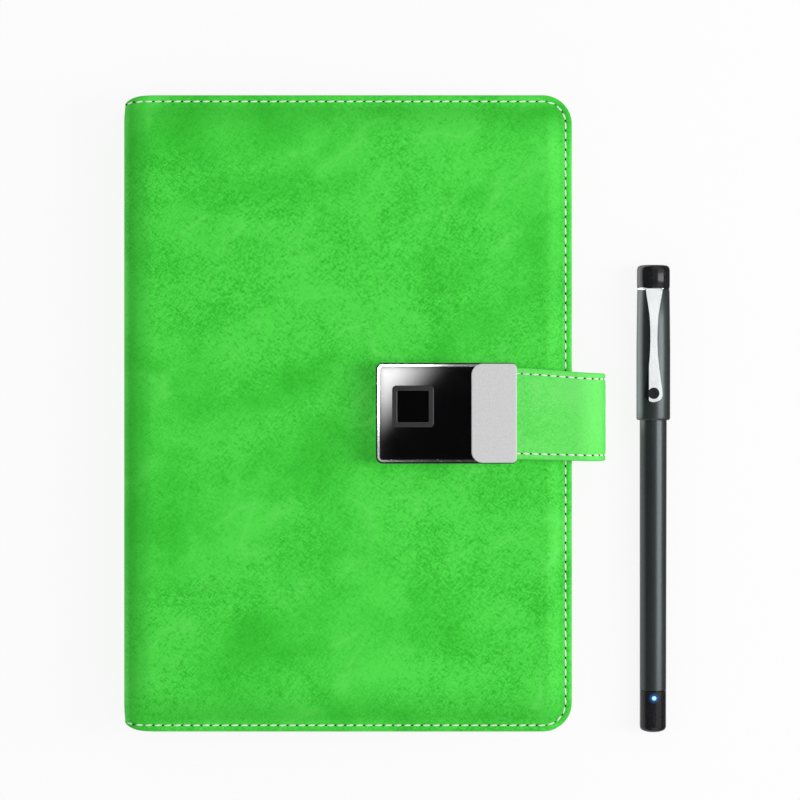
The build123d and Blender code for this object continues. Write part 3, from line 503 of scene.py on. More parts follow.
def circuit_board(name):
    """Green solder mask over copper tracks."""
    finish = Finish(name)
    cells = finish.node("ShaderNodeTexVoronoi", {"feature": "F1", "distance": "CHEBYCHEV"},
                        {"Vector": finish.place(), "Scale": 620.0})
    tracks = cells.clear(0.36, 0.42)
    shade = finish.blend(tracks, (0.004, 0.065, 0.020), (0.010, 0.130, 0.045))
    return finish.surface(base_color=shade, roughness=0.3 + tracks * 0.1,
                          normal=finish.bump(tracks, 0.3, 0.05))


def from_lamp(finish):
    """Distance in millimetres from the middle of the indicator on the pen's tail."""
    low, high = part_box("indicator_lens")
    middle = ((low.x + high.x) / 2, (low.y + high.y) / 2, high.z)
    apart = finish.node("ShaderNodeVectorMath", {"operation": "DISTANCE"},
                        {0: finish.coordinates(), 1: middle}, output="Value")
    return apart * MM_PER_METRE


def lit_indicator(name, colour):
    """A lit indicator, pale in the middle and blue at its rim."""
    finish = Finish(name)
    speck = finish.noise(finish.place(), 2600.0, 2.0)
    glow = finish.blend(from_lamp(finish).clear(0.15, 0.85), (0.72, 0.97, 1.0), colour)
    return finish.surface(base_color=colour, roughness=0.15 + speck * 0.1, emission_color=glow,
                          emission_strength=1.3)


def lit_gloss(name, colour, light):
    """Gloss black plastic with a painted glow: a faint blue halo, given as emission, round the indicator set into
    it.
    """
    finish = Finish(name)
    grain = finish.noise(finish.place(), 2200.0, 3.0, 0.6)
    # Painted light: the halo fades out from the indicator across the black plastic.
    fade = 1.0 - from_lamp(finish).clear(0.5, 2.6)
    halo = finish.blend(fade ** 2.0, BLACK, mixed(light, BLACK, 0.65))
    shade = finish.tones(grain, colour, 0.3, 0.15, 0.7, 0.02)
    return finish.surface(base_color=shade, roughness=0.13 + grain * 0.04, specular_ior_level=0.26,
                          emission_color=halo, emission_strength=1.0)


def make_finishes(scene):
    """Every material of the set, by the record's material slot."""
    case, lock, pen = scene.notebook_case, scene.notebook_lock, scene.notebook_pen
    dark, middle, light = case.leather_dark, case.leather_middle, case.leather_light
    strap = case.strap_colour
    return {
        "green_leather": waxed_leather("green_leather", dark, middle, light, shaded_slopes=True),
        "strap_leather": waxed_leather("strap_leather", mixed(strap, middle, 0.35), strap,
                                       mixed(strap, WHITE, 0.07), shaded_bend=True),
        "strap_lining_leather": waxed_leather("strap_lining_leather", mixed(dark, BLACK, 0.3), dark, middle),
        "lining": suede("lining_suede", case.lining_colour),
        "thread": sewing_thread("sewing_thread", case.thread_colour),
        "needle_hole_shade": needle_hole_shade("needle_hole_shade", (0.004, 0.050, 0.004)),
        "greyboard": card_finish("greyboard", (0.34, 0.32, 0.29), (0.16, 0.15, 0.13)),
        "foam": card_finish("foam_padding", (0.62, 0.60, 0.50), (0.44, 0.42, 0.34)),
        "card": card_finish("cover_card", (0.66, 0.63, 0.54), (0.50, 0.47, 0.39)),
        "pages": leaf_edges("leaf_edges", (0.83, 0.81, 0.74), 4200.0),
        "paper": plain_paper("plain_paper", (0.83, 0.81, 0.74)),
        "binding_cloth": woven_cloth("binding_cloth", (0.70, 0.67, 0.58)),
        "strap_core": card_finish("strap_stiffener", (0.12, 0.12, 0.12), (0.05, 0.05, 0.05)),
        "steel": polished_metal("spring_steel", (0.55, 0.56, 0.58), 0.28, 0.12),
        "lock_chrome": chrome_with_painted_shade("lock_chrome", lock.chrome_colour, 0.05),
        "lock_plastic": moulded_plastic("lock_plastic", (0.025, 0.025, 0.027), 0.45),
        "black_glass": black_glass("black_glass"),
        "sensor_frame_metal": satin_paint("sensor_frame_metal", lock.sensor_metal, 0.30, 0.2),
        "sensor_black": sensor_surface("sensor_black"),
        "pale_plate": moulded_plastic("pale_plate", lock.plate_colour, 0.38),
        "motor_can": polished_metal("motor_can", (0.46, 0.46, 0.45), 0.34, 0.1),
        "gear_brass": polished_metal("gear_brass", (0.72, 0.52, 0.22), 0.26, 0.1),
        "circuit": circuit_board("circuit_board"),
        "cell": moulded_plastic("cell_wrap", (0.03, 0.10, 0.30), 0.3),
        "pen_satin": satin_paint("pen_satin", pen.satin_colour, 0.30),
        "cap_satin": satin_paint("cap_satin", mixed(pen.satin_colour, WHITE, 0.012), 0.30),
        "pen_gloss": lit_gloss("pen_gloss", pen.gloss_colour, pen.light_colour),
        "pen_chrome": polished_metal("pen_chrome", (0.84, 0.87, 0.87), 0.06),
        "clip_painted_dark_reflection": polished_metal("clip_painted_dark_reflection", (0.15, 0.16, 0.16), 0.25),
        "pen_inlay": moulded_plastic("pen_inlay", (0.003, 0.003, 0.006), 0.20, 0.08),
        "cap_liner": moulded_plastic("cap_liner", (0.04, 0.04, 0.04), 0.5),
        "refill_brass": polished_metal("refill_brass", (0.68, 0.50, 0.24), 0.22, 0.08),
        "sensor_ceramic": moulded_plastic("sensor_ceramic", (0.72, 0.70, 0.64), 0.4),
        "camera_glass": black_glass("camera_glass"),
        "indicator": lit_indicator("indicator", pen.light_colour),
    }


# Every finish by name, filled by main before the first operator runs
FINISHES = {}


# Mesh helpers
def placed_mesh(name, mesh):
    """A new object at the origin that holds a finished bmesh."""
    data = bpy.data.meshes.new(name)
    mesh.to_mesh(data)
    mesh.free()
    made = bpy.data.objects.new(name, data)
    bpy.context.scene.collection.objects.link(made)
    return made


def new_piece(name, mesh, finishes, slot, smooth=True):
    """Turn a finished bmesh into a piece with its materials; the slot argument is not used."""
    for face in mesh.faces:
        face.smooth = smooth
    piece = placed_mesh(name, mesh)
    for finish in finishes:
        piece.data.materials.append(FINISHES[finish])
    return piece


def add_wall(piece, thickness, offset):
    """Give a sheet its thickness: inwards at an offset of -1, to both sides at 0."""
    wall = piece.modifiers.new("Thickness", "SOLIDIFY")
    wall.thickness = thickness
    wall.offset = offset


def round_edges(piece, width, degrees):
    """Round the edges that are sharper than an angle."""
    rounding = piece.modifiers.new("Soft edges", "BEVEL")
    rounding.width = width
    rounding.segments = 2
    rounding.limit_method = "ANGLE"
    rounding.angle_limit = math.radians(degrees)


def apply_modifiers(piece):
    """Bake the live modifiers of a piece into its mesh."""
    graph = bpy.context.evaluated_depsgraph_get()
    made = bpy.data.meshes.new_from_object(piece.evaluated_get(graph))
    old = piece.data
    piece.modifiers.clear()
    piece.data = made
    bpy.data.meshes.remove(old)


def crease_edges(piece, degrees, flats=True):
    """Keep edges crisp that are sharper than an angle, and with flats also those that bound a level face."""
    mesh = bmesh.new()
    mesh.from_mesh(piece.data)
    limit = math.radians(degrees)
    for edge in mesh.edges:
        if len(edge.link_faces) == 2:
            level = [flats and abs(face.normal.z) > 0.9999 for face in edge.link_faces]
            edge.smooth = edge.calc_face_angle() < limit and level[0] == level[1]
    mesh.to_mesh(piece.data)
    mesh.free()


def merge_and_face(mesh, distance):
    """Merge doubled vertices, and turn the faces one way."""
    bmesh.ops.remove_doubles(mesh, verts=mesh.verts, dist=distance)
    bmesh.ops.recalc_face_normals(mesh, faces=mesh.faces)


def grid_sheet(columns, rows, position):
    """A sheet of quads whose vertex in each column and row goes where position says."""
    mesh = bmesh.new()
    bmesh.ops.create_grid(mesh, x_segments=columns - 1, y_segments=rows - 1, size=0.5)
    for vertex in mesh.verts:
        column = round((vertex.co.x + 0.5) * (columns - 1))
        row = round((vertex.co.y + 0.5) * (rows - 1))
        vertex.co = position(column, row)
    return mesh


def smoothstep(value):
    """0 to 1 with soft ends."""
    value = min(1.0, max(0.0, value))
    return value * value * (3.0 - 2.0 * value)


# Leather of the case
class CaseSkin:
    """The form of one cover's leather: spine, shoulder, padding, sewn border and folded edge."""

    # Counts of points and steps, lengths on the leather, and shares from 0 to 1
    turn_in_points = 3
    fold_steps = 10
    slope_steps = 10
    spine_steps = 3
    arc_steps = 12
    grid_step = 2.2 * MM
    bend_reach = 4.5 * MM
    pull_reach = 5.0 * MM
    lock_reach = 14.0 * MM
    slow_swell = 0.16 * MM
    quick_swell = 0.05 * MM
    slow_middle = 0.55
    shoulder_thinning = 0.85
    seam_start = 0.32
    seam_steps = 60

    def __init__(self, case, facing):
        self.case = case
        self.facing = facing
        self.lock_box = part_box("lock_housing")
        self.profile = self.edge_profile()
        self.path = self.edge_path()
        self.field_inset = self.profile[-1][0]
        self.along = self.section_stations()
        self.across = self.side_stations()

    def edge_profile(self):
        """(inset, drop) from the hidden end of the turn-in round the fold to the top of the padding."""
        case = self.case
        fold = case.edge_thickness / 2
        under = case.pad_drop + case.edge_thickness
        profile = [(case.turn_in, under), (case.turn_in * 0.6, under), (fold * 1.4, under)]
        for step in range(self.fold_steps + 1):
            angle = math.pi * (1 - step / self.fold_steps)
            profile.append((fold - fold * math.sin(angle), case.pad_drop + fold * (1 - math.cos(angle))))
        groove = ((-0.75, 0.0), (-0.45, 0.25), (-0.2, 0.85), (0.0, 1.0), (0.2, 0.85), (0.45, 0.25))
        for offset, share in groove:
            profile.append((case.stitch_inset + offset * MM, case.pad_drop + case.groove_depth * share))
        for step in range(self.slope_steps + 1):
            share = step / self.slope_steps
            rise = case.pad_drop * (1 - smoothstep(share ** 0.85))
            profile.append((case.border_width + case.pad_slope * share, rise))
        return profile

    def edge_path(self):
        """Steady distance for each station of the edge profile, below zero under the fold."""
        turn = self.turn_in_points + self.fold_steps // 2
        return [inset if index >= turn else -inset - self.case.edge_thickness
                for index, (inset, _) in enumerate(self.profile)]

    def section_stations(self):
        """Stations across the cover from the middle of the spine to the fore-edge."""
        rise = CASE_MIDDLE - SHOULDER
        spine = [("spine", rise * step / self.spine_steps) for step in range(self.spine_steps)]
        bend = [("bend", step / self.arc_steps) for step in range(self.arc_steps)]
        field = FORE_X - self.field_inset - HINGE_X
        count = int(field / self.grid_step)
        board = [("flat", HINGE_X + field * step / count) for step in range(count)]
        edge = [("edge", index) for index in reversed(range(len(self.profile)))]
        return spine + bend + board + edge

    def side_stations(self):
        """Stations along the spine from foot to head, each with its side: foot -1, middle 0, head 1."""
        field = 2 * (HEAD_Y - self.field_inset)
        count = int(field / self.grid_step)
        foot = [("edge", index, -1) for index in range(len(self.profile))]
        body = [("flat", -HEAD_Y + self.field_inset + field * step / count, 0) for step in range(1, count)]
        head = [("edge", index, 1) for index in reversed(range(len(self.profile)))]
        return foot + body + head

    def bend_share(self, x):
        """0 on the board and 1 on the spine, as the leather nears and rounds the shoulder."""
        return min(1.0, max(0.0, (HINGE_X + self.bend_reach - x) / (SHOULDER + self.bend_reach)))

    def thinned(self, depth, x):
        """A depth below the padding's top, less where the leather nears and rounds the shoulder."""
        return depth * (1 - self.shoulder_thinning * smoothstep(self.bend_share(x)))

    def pull(self, x, inset):
        """How far the head and foot edges draw in where the leather rounds the shoulder."""
        share = self.bend_share(x)
        whole = self.case.end_pull * (1 - math.sqrt(max(0.0, 1 - share * share)))
        keep = 1.0 if inset <= 0 else max(0.0, 1 - inset / self.pull_reach) ** 1.3
        return whole * keep

    def swell(self, x, y):
        """Slow, shallow unevenness of the padding, none under the lock."""
        low, high = self.lock_box
        apart = math.hypot(max(low.x - x, x - high.x, 0.0), max(low.y - y, y - high.y, 0.0))
        free = smoothstep(apart / self.lock_reach) if self.facing > 0 else 1.0
        # Waves to a metre across and along; the last value gives each cover its own
        slow = noise.noise(Vector((x * 38, y * 30, 3.0 * self.facing)))
        quick = noise.noise(Vector((x * 95, y * 80, 7.0 * self.facing)))
        return free * (self.slow_swell * (slow - self.slow_middle) + self.quick_swell * quick)

    def section(self, kind, value):
        """Place and outward direction on the section of the case, from one station."""
        fall = self.case.hinge_fall
        if kind == "spine":
            return SPINE_X, CASE_MIDDLE + value, Vector((-1.0, 0.0, 0.0))
        if kind == "bend":
            angle = math.pi / 2 * value
            out = Vector((-math.cos(angle), 0.0, math.sin(angle)))
            centre_z = CASE_TOP - SHOULDER
            return HINGE_X + SHOULDER * out.x, centre_z + SHOULDER * out.z - fall * value ** 2, out
        share = smoothstep((value - HINGE_X) / self.case.hinge_slope * 0.5 + 0.5) * 2.0 - 1.0
        return value, CASE_TOP - fall * (1.0 - share), UP.copy()

    def point(self, column, row):
        """Place of one vertex of the sheet."""
        kind, value = self.along[column]
        side_kind, side_value, side = self.across[row]
        if kind == "edge" and side_kind == "edge":
            return self.corner_point(value, side_value, side)
        if kind == "edge":
            inset, drop = self.profile[value]
            return self.placed(FORE_X - inset, side_value, CASE_TOP - drop)
        x, z, out = self.section(kind, value)
        if side_kind == "edge":
            inset, drop = self.profile[side_value]
            pad = min(drop, self.case.pad_drop)
            y = side * (HEAD_Y - inset - self.pull(x, self.path[side_value]))
            return self.placed(*(Vector((x, y, z)) - out * (self.thinned(pad, x) + drop - pad)))
        return self.placed(x, side_value, z + (self.swell(x, side_value) if kind == "flat" else 0.0))

    def corner_point(self, mine, other, side):
        """Place in a rounded corner, where two edge profiles meet in rings, from the stations on both."""
        corner = self.case.corner_radius
        ring = min(mine, other)
        inset, drop = self.profile[ring]
        share = (self.path[max(mine, other)] - self.path[ring]) / (corner - self.path[ring])
        turn = math.pi / 4 * (1 - share)
        if mine > other:
            turn = math.pi / 2 - turn
        x = FORE_X - corner + (corner - inset) * math.cos(turn)
        y = side * (HEAD_Y - corner + (corner - inset) * math.sin(turn))
        return self.placed(x, y, CASE_TOP - drop)

    def placed(self, x, y, z):
        """The point on the front cover, or mirrored to the back one, which lies flat on the table."""
        if self.facing < 0:
            z = max(CASE_TOP - z, TABLE_GAP)
        return Vector((x, y, z))

    def seam_line(self):
        """Points and outward directions along the seam, from the spine at the foot round to the head."""
        case = self.case
        inset = case.stitch_inset
        radius = case.corner_radius - inset
        corner_x, corner_y = FORE_X - case.corner_radius, HEAD_Y - case.corner_radius
        start, steps = self.seam_start, self.arc_steps
        run = [self.section("bend", start + (1 - start) * step / steps) for step in range(steps)]
        run += [self.section("flat", HINGE_X + (corner_x - HINGE_X) * step / self.seam_steps)
                for step in range(self.seam_steps)]
        points = []
        for side in (-1, 1):
            line = []
            for x, z, out in run:
                depth = self.thinned(case.pad_drop, x) + case.groove_depth
                y = side * (HEAD_Y - inset - self.pull(x, inset))
                line.append((Vector((x, y, z)) - out * depth, out))
            centre = Vector((corner_x, side * corner_y, CASE_TOP - (case.pad_drop + case.groove_depth)))
            for step in range(steps + 1):
                angle = math.pi / 2 * (1 - step / steps)
                outward = Vector((math.cos(angle), side * math.sin(angle), 0.0))
                line.append((centre + outward * radius, UP.copy()))
            points += line if side < 0 else list(reversed(line))
        if self.facing < 0:
            points = [(Vector((p.x, p.y, CASE_TOP - p.z)), Vector((n.x, n.y, -n.z))) for p, n in points]
        return points


def spaced(line, pitch):
    """Evenly spaced places along a line of (point, outward) pairs, each with the direction of the line."""
    lengths = [(line[i + 1][0] - line[i][0]).length for i in range(len(line) - 1)]
    total = sum(lengths)
    count = max(1, round(total / pitch))
    step = total / count
    places = []
    index = 0
    passed = 0.0
    for number in range(count):
        wanted = (number + 0.5) * step
        while index < len(lengths) - 1 and passed + lengths[index] < wanted:
            passed += lengths[index]
            index += 1
        share = (wanted - passed) / max(lengths[index], 1e-9)
        first, second = line[index], line[index + 1]
        spot = first[0].lerp(second[0], share)
        out = first[1].lerp(second[1], share).normalized()
        ahead = (second[0] - first[0]).normalized()
        places.append((spot, out, ahead))
    return places, step


def frame_matrix(spot, out, ahead, slant=0.0):
    """A place whose X runs ahead along the seam and whose Z points out of the leather."""
    side = out.cross(ahead).normalized()
    along = side.cross(out).normalized()
    turn = Matrix((along, side, out)).transposed().to_4x4()
    return Matrix.Translation(spot) @ turn @ Matrix.Rotation(slant, 4, "Z")


def thread_fullness(share):
    """Width of a thread against an ellipsoid's, at a share of its half length: full, then soon closed."""
    full = min(1.0, 1.25 * math.sqrt(max(0.0, 1 - abs(share))))
    even = math.sqrt(max(1e-6, 1 - (share / 1.04) ** 2))
    return full / even if even > 0.2 else 1.0


def sew(mesh, line, case, slant, pitch):
    """Threads and needle holes of one seam, added to a mesh whose second material is the painted shade of the
    hole.
    """
    places, step = spaced(line, pitch)
    dice = random.Random(len(places))
    half_length = step * 0.40
    half_width = case.thread_width / 2
    lift, hole_lift, hole_depth = half_width * 0.35, 0.03 * MM, 0.05 * MM
    for spot, out, ahead in places:
        tilt = slant + dice.uniform(-0.03, 0.03)
        matrix = frame_matrix(spot + out * lift, out, ahead, tilt)
        scale = Matrix.Diagonal((half_length * dice.uniform(0.95, 1.03), half_width, half_width * 0.8, 1.0))
        made = bmesh.ops.create_uvsphere(mesh, u_segments=8, v_segments=7, radius=1.0,
                                         matrix=matrix @ scale @ Matrix.Rotation(math.pi / 2, 4, "Y"))
        back = matrix.inverted()
        for vertex in made["verts"]:
            local = back @ vertex.co
            local.y *= thread_fullness(local.x / half_length)
            vertex.co = matrix @ local
        # Painted shade: each needle hole is a flat dark disc just over the leather, standing for the shadow in its
        # pit.
        hole_matrix = frame_matrix(spot + ahead * step / 2 + out * hole_lift, out, ahead, tilt)
        squash = Matrix.Diagonal((step * 0.15, half_width * 0.95, hole_depth, 1.0))
        hole = bmesh.ops.create_icosphere(mesh, subdivisions=1, radius=1.0, matrix=hole_matrix @ squash)
        for face in {face for vertex in hole["verts"] for face in vertex.link_faces}:
            face.material_index = 1


def make_cover_leather(case, facing, label, nodes):
    """One cover's leather as a folded sheet with thickness, and its seam, both bending at the shoulder."""
    skin = CaseSkin(case, facing)
    mesh = grid_sheet(len(skin.along), len(skin.across), skin.point)
    merge_and_face(mesh, 0.001 * MM)
    largest = max(mesh.faces, key=lambda face: face.calc_area())
    if largest.normal.z * facing < 0:
        bmesh.ops.reverse_faces(mesh, faces=mesh.faces)
    leather = new_piece(label + "_leather_skin", mesh, ["green_leather"], "green_leather")
    add_wall(leather, case.leather_thickness, -1.0)
    apply_modifiers(leather)
    crease_edges(leather, 55.0, flats=False)
    seam_mesh = bmesh.new()
    sew(seam_mesh, skin.seam_line(), case, 0.07 * facing, case.stitch_pitch)
    seam = new_piece(label + "_seam_thread", seam_mesh, ["thread", "needle_hole_shade"], "green_leather")
    low = skin.placed(SPINE_X, 0.0, CASE_TOP - SHOULDER)
    high = skin.placed(HINGE_X, 0.0, CASE_TOP)
    for piece in (leather, seam):
        if facing > 0:
            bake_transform(piece)
        else:
            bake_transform(piece)
    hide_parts(*nodes)


class OBJECT_OT_cover_leather(bpy.types.Operator):
    """Lay the padded leather over the covers and the spine, and sew its edges"""

    bl_idname = "notebook.cover_leather"
    bl_label = "Cover leather"

    def execute(self, context):
        case = context.scene.notebook_case
        make_cover_leather(case, 1, "front", ("front_leather", "front_hinge_leather", "spine_leather"))
        make_cover_leather(case, -1, "back", ("back_leather", "back_hinge_leather"))
        return {"FINISHED"}


# Strap
class StrapForm:
    """The closure strap: out of the lock, round the fore-edge and into the back cover's seam."""

    thickness = 2.4 * MM
    outer_radius = 10.4 * MM
    bend_reach = 8.5 * MM
    spare_width = 0.2 * MM
    thread_sink = 0.2 * MM
    skived_share = 0.5
    top_steps = 22
    arc_steps = 16
    leg_steps = 5

    def __init__(self, case):
        self.case = case
        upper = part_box("strap_leather")
        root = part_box("strap_root_leather")
        self.start_x = upper[0].x
        self.crown_x = upper[1].x
        self.split_z = root[1].z
        self.top_z = upper[1].z
        self.low_z = root[0].z
        self.width = upper[1].y - upper[0].y
        self.end_x = FORE_X - 2.0 * MM

    def centre_line(self):
        """(place, outward direction) pairs along the strap's outer face."""
        arc_x = self.crown_x - self.outer_radius
        upper_z, lower_z = self.top_z - self.outer_radius, self.low_z + self.outer_radius
        line = []
        for step in range(self.top_steps):
            x = self.start_x + (arc_x - self.start_x) * step / self.top_steps
            line.append((Vector((x, 0.0, self.top_z)), UP.copy()))
        line += self.quarter_turn(arc_x, upper_z, math.pi / 2)
        for step in range(1, self.leg_steps):
            z = upper_z - (upper_z - lower_z) * step / self.leg_steps
            line.append((Vector((self.crown_x, 0.0, z)), Vector((1.0, 0.0, 0.0))))
        line += self.quarter_turn(arc_x, lower_z, 0.0)
        line.append((Vector((self.end_x, 0.0, self.low_z)), -UP))
        return line

    def quarter_turn(self, x, z, start):
        """A quarter of a circle in the side view, downwards from an angle, as pairs for the centre line."""
        turn = []
        for step in range(self.arc_steps + 1):
            angle = start - math.pi / 2 * step / self.arc_steps
            out = Vector((math.cos(angle), 0.0, math.sin(angle)))
            turn.append((Vector((x, 0.0, z)) + out * self.outer_radius, out))
        return turn

    def under_book(self, place, clearance):
        """Whether a place on the lower half is nearer the book than a clearance from its fore-edge."""
        return place.z < self.split_z and place.x < FORE_X + clearance

    def sideways(self, place):
        """Drift and half width of the strap at a place along it."""
        share = smoothstep((place.x - self.start_x) / (self.crown_x - self.start_x))
        if place.z < self.split_z:
            share = 1.0
        half = self.width / 2 + self.spare_width - self.case.strap_taper / 2 * share
        return -self.case.strap_drift * share, half

    def cross_section(self):
        """(inset, depth) pairs round one edge of the strap, from the seam's inner side to the lining."""
        inset = self.case.strap_stitch_inset
        edge = self.thickness / 2
        groove = ((1.6, -0.10), (0.45, 0.02), (0.2, 0.16), (0.0, 0.22),
                  (-0.2, 0.16), (-0.45, 0.02), (-0.8, 0.0))
        section = [(inset + mark * MM, dip * MM) for mark, dip in groove]
        steps = 8
        for step in range(steps + 1):
            angle = math.pi * step / steps
            section.append((0.45 * edge * (1 - math.sin(angle)), edge - edge * math.cos(angle)))
        return section + [(inset, self.thickness), (inset + 2.0 * MM, self.thickness)]

    def ring(self, place, out, section):
        """One closed ring of vertices round the strap, thinner where its end is skived into the seam."""
        drift, half = self.sideways(place)
        share = self.skived_share if self.under_book(place, 2.5 * MM) else 1.0
        spots = []
        for side in (1, -1):
            run = []
            for inset, depth in section:
                y = drift + side * (half - inset)
                run.append(place + Vector((0.0, y, 0.0)) - out * depth * share)
            spots += run if side > 0 else list(reversed(run))
        return spots

    def seam(self, side):
        """The stitched line along one edge of the strap, on its outer face."""
        line = []
        for place, out in self.centre_line():
            if place.x < self.start_x + 2.0 * MM or self.under_book(place, 3.0 * MM):
                continue
            drift, half = self.sideways(place)
            spot = place + Vector((0.0, drift + side * (half - self.case.strap_stitch_inset), 0.0))
            line.append((spot - out * self.thread_sink, out))
        return line


def make_strap(case):
    """The strap with its folded edges, thread and lining."""
    form = StrapForm(case)
    section = form.cross_section()
    rings = [form.ring(place, out, section) for place, out in form.centre_line()]
    round_count = len(rings[0])
    mesh = grid_sheet(round_count + 1, len(rings), lambda column, row: rings[row][column % round_count])
    bmesh.ops.remove_doubles(mesh, verts=mesh.verts, dist=0.001 * MM)
    bmesh.ops.holes_fill(mesh, edges=mesh.edges, sides=0)
    bmesh.ops.recalc_face_normals(mesh, faces=mesh.faces)
    strap = new_piece("strap", mesh, ["strap_leather"], "green_leather")
    seam_mesh = bmesh.new()
    for side in (-1, 1):
        sew(seam_mesh, form.seam(side), case, 0.05 * side, case.stitch_pitch * 0.93)
    seam = new_piece("strap_seam_thread", seam_mesh, ["thread", "needle_hole_shade"], "green_leather")
    for piece in (strap, seam):
        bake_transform(piece)
    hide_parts("strap_leather", "strap_lining", "strap_core",
                "strap_root_leather", "strap_root_lining")


class OBJECT_OT_closure_strap(bpy.types.Operator):
    """Make the closure strap and sew its edges"""

    bl_idname = "notebook.closure_strap"
    bl_label = "Closure strap"

    def execute(self, context):
        make_strap(context.scene.notebook_case)
        return {"FINISHED"}


# Inner book
def page_plan(mesh, low, high, corner):
    """The leaves' outline as one face, with its two corners at the fore-edge rounded."""
    spots = ((low.x, low.y), (high.x, low.y), (high.x, high.y), (low.x, high.y))
    verts = [mesh.verts.new((x, y, low.z)) for x, y in spots]
    mesh.faces.new(verts)
    bmesh.ops.bevel(mesh, geom=verts[1:3], offset=corner, offset_type="OFFSET", affect="VERTICES",
                    segments=6, profile=0.5, material=-1)
    return mesh.faces[:][0]


def outward_directions(face):
    """The level direction in which the outline of a plan face looks, for each of its vertices."""
    loop = list(face.verts)
    centre = face.calc_center_bounds()
    outward = {}
    for index, vertex in enumerate(loop):
        first = (vertex.co - loop[index - 1].co).normalized()
        second = (loop[(index + 1) % len(loop)].co - vertex.co).normalized()
        normal = Vector((first.y + second.y, -first.x - second.x, 0.0))
        if normal.dot(vertex.co - centre) < 0:
            normal = -normal
        outward[vertex] = normal.normalized()
    return outward


def grow_block(mesh, face, levels):
    """Extrude one plan face upward through (level, inset) rings, each inset from the plan."""
    plan = {vertex: (vertex.co.copy(), push) for vertex, push in outward_directions(face).items()}
    for level, inset in levels:
        made = bmesh.ops.extrude_face_region(mesh, geom=[face])
        raised = next(item for item in made["geom"] if isinstance(item, bmesh.types.BMFace))
        below = list(face.verts)
        fresh = {}
        for vertex in raised.verts:
            base, push = plan[min(below, key=lambda other: (other.co - vertex.co).length)]
            vertex.co = Vector((base.x - push.x * inset, base.y - push.y * inset, level))
            fresh[vertex] = (base, push)
        bmesh.ops.delete(mesh, geom=[face], context="FACES_ONLY")
        plan, face = fresh, raised


def make_page_block(node, name, body, seed):
    """Half of the page block, with its leaves in thin bundles that end a hair's breadth apart."""
    low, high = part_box(node)
    bundles = 24
    step = (high.z - low.z) / bundles
    gap_inset = 0.26 * MM
    dice = random.Random(seed)
    levels = []
    for index in range(bundles):
        inset = dice.uniform(0.02, 0.16) * MM
        base = low.z + index * step
        levels += [(base + 0.03 * step, inset), (base + 0.80 * step, inset), (base + 0.90 * step, gap_inset)]
    levels[-1] = (high.z, levels[-2][1])
    mesh = bmesh.new()
    face = page_plan(mesh, low, high, 6.0 * MM)
    # The copy stays behind as the underside when the face is raised
    face.copy()
    grow_block(mesh, face, levels)
    merge_and_face(mesh, 0.0005 * MM)
    for level_face in sorted(mesh.faces, key=lambda item: item.calc_area())[-2:]:
        level_face.material_index = 1
    block = new_piece(name, mesh, ["pages", "paper"], "pages", smooth=False)
    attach(block, body)
    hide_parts(node)


def make_binding_cloth():
    """The thin cloth glued over the backs of both page blocks."""
    low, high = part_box("book_binding")
    rows = 41
    thickness = high.x - low.x

    def position(column, row):
        z = low.z + (high.z - low.z) * row / (rows - 1)
        return Vector((high.x - thickness / 2, low.y + (high.y - low.y) * column, z))

    cloth = new_piece("binding_cloth", grid_sheet(2, rows, position), ["binding_cloth"], "binding_cloth")
    add_wall(cloth, thickness, 0.0)
    apply_modifiers(cloth)
    crease_edges(cloth, 55.0, flats=False)
    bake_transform(cloth)
    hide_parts("book_binding")


class OBJECT_OT_inner_book(bpy.types.Operator):
    """Make the two halves of the page block and the cloth that binds them"""

    bl_idname = "notebook.inner_book"
    bl_label = "Inner book"

    def execute(self, context):
        make_page_block("lower_pages", "lower_leaves", "back_cover", 24)
        make_page_block("upper_pages", "upper_leaves", "upper_pages", 25)
        make_binding_cloth()
        return {"FINISHED"}


# Rigid pieces with softened edges
def make_softened(node, name, body, finish, width):
    """A merged copy of a solid with its edges rounded, in place of the solid."""
    mesh = bmesh.new()
    mesh.from_mesh(frame["nodes"][node].data)
    bmesh.ops.remove_doubles(mesh, verts=mesh.verts, dist=0.002 * MM)
    bmesh.ops.dissolve_limit(mesh, angle_limit=math.radians(1.0), verts=mesh.verts, edges=mesh.edges,
                             use_dissolve_boundaries=False, delimit=set())
    piece = new_piece(name, mesh, [finish], finish)
    if width:
        round_edges(piece, width, 35.0)
        apply_modifiers(piece)
    crease_edges(piece, 20.0)
    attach(piece, body)
    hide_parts(node)


def seat_spring():
    """Give the latch spring a mesh of its own; the latch's travel is read, but the spring is not made to shorten.
    """
    spring = frame["nodes"]["latch_spring"]
    low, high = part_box("latch_spring")
    travel = next(joint for joint in frame["joints"] if joint["name"] == "latch_draw")["range_m"][1]
    length = high.y - low.y
    1.0 - travel / length
    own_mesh(spring)


class OBJECT_OT_fingerprint_lock(bpy.types.Operator):
    """Make the lock's frame, glass, sensor and end plate with rounded edges"""

    bl_idname = "notebook.fingerprint_lock"
    bl_label = "Fingerprint lock"

    def execute(self, context):
        rim = context.scene.notebook_lock.edge_bevel
        pieces = (
            ("lock_housing", "lock_frame", "lock_chrome", 0.0),
            ("glass_panel", "lock_glass", "black_glass", rim),
            ("sensor_frame", "sensor_bezel", "sensor_frame_metal", 0.12 * MM),
            ("end_plate", "strap_end_plate", "pale_plate", 0.14 * MM),
            ("charging_socket", "charging_socket_shell", "steel", 0.08 * MM),
        )
        for node, name, finish, width in pieces:
            make_softened(node, name, "front_cover", finish, width)
        seat_spring()
        return {"FINISHED"}


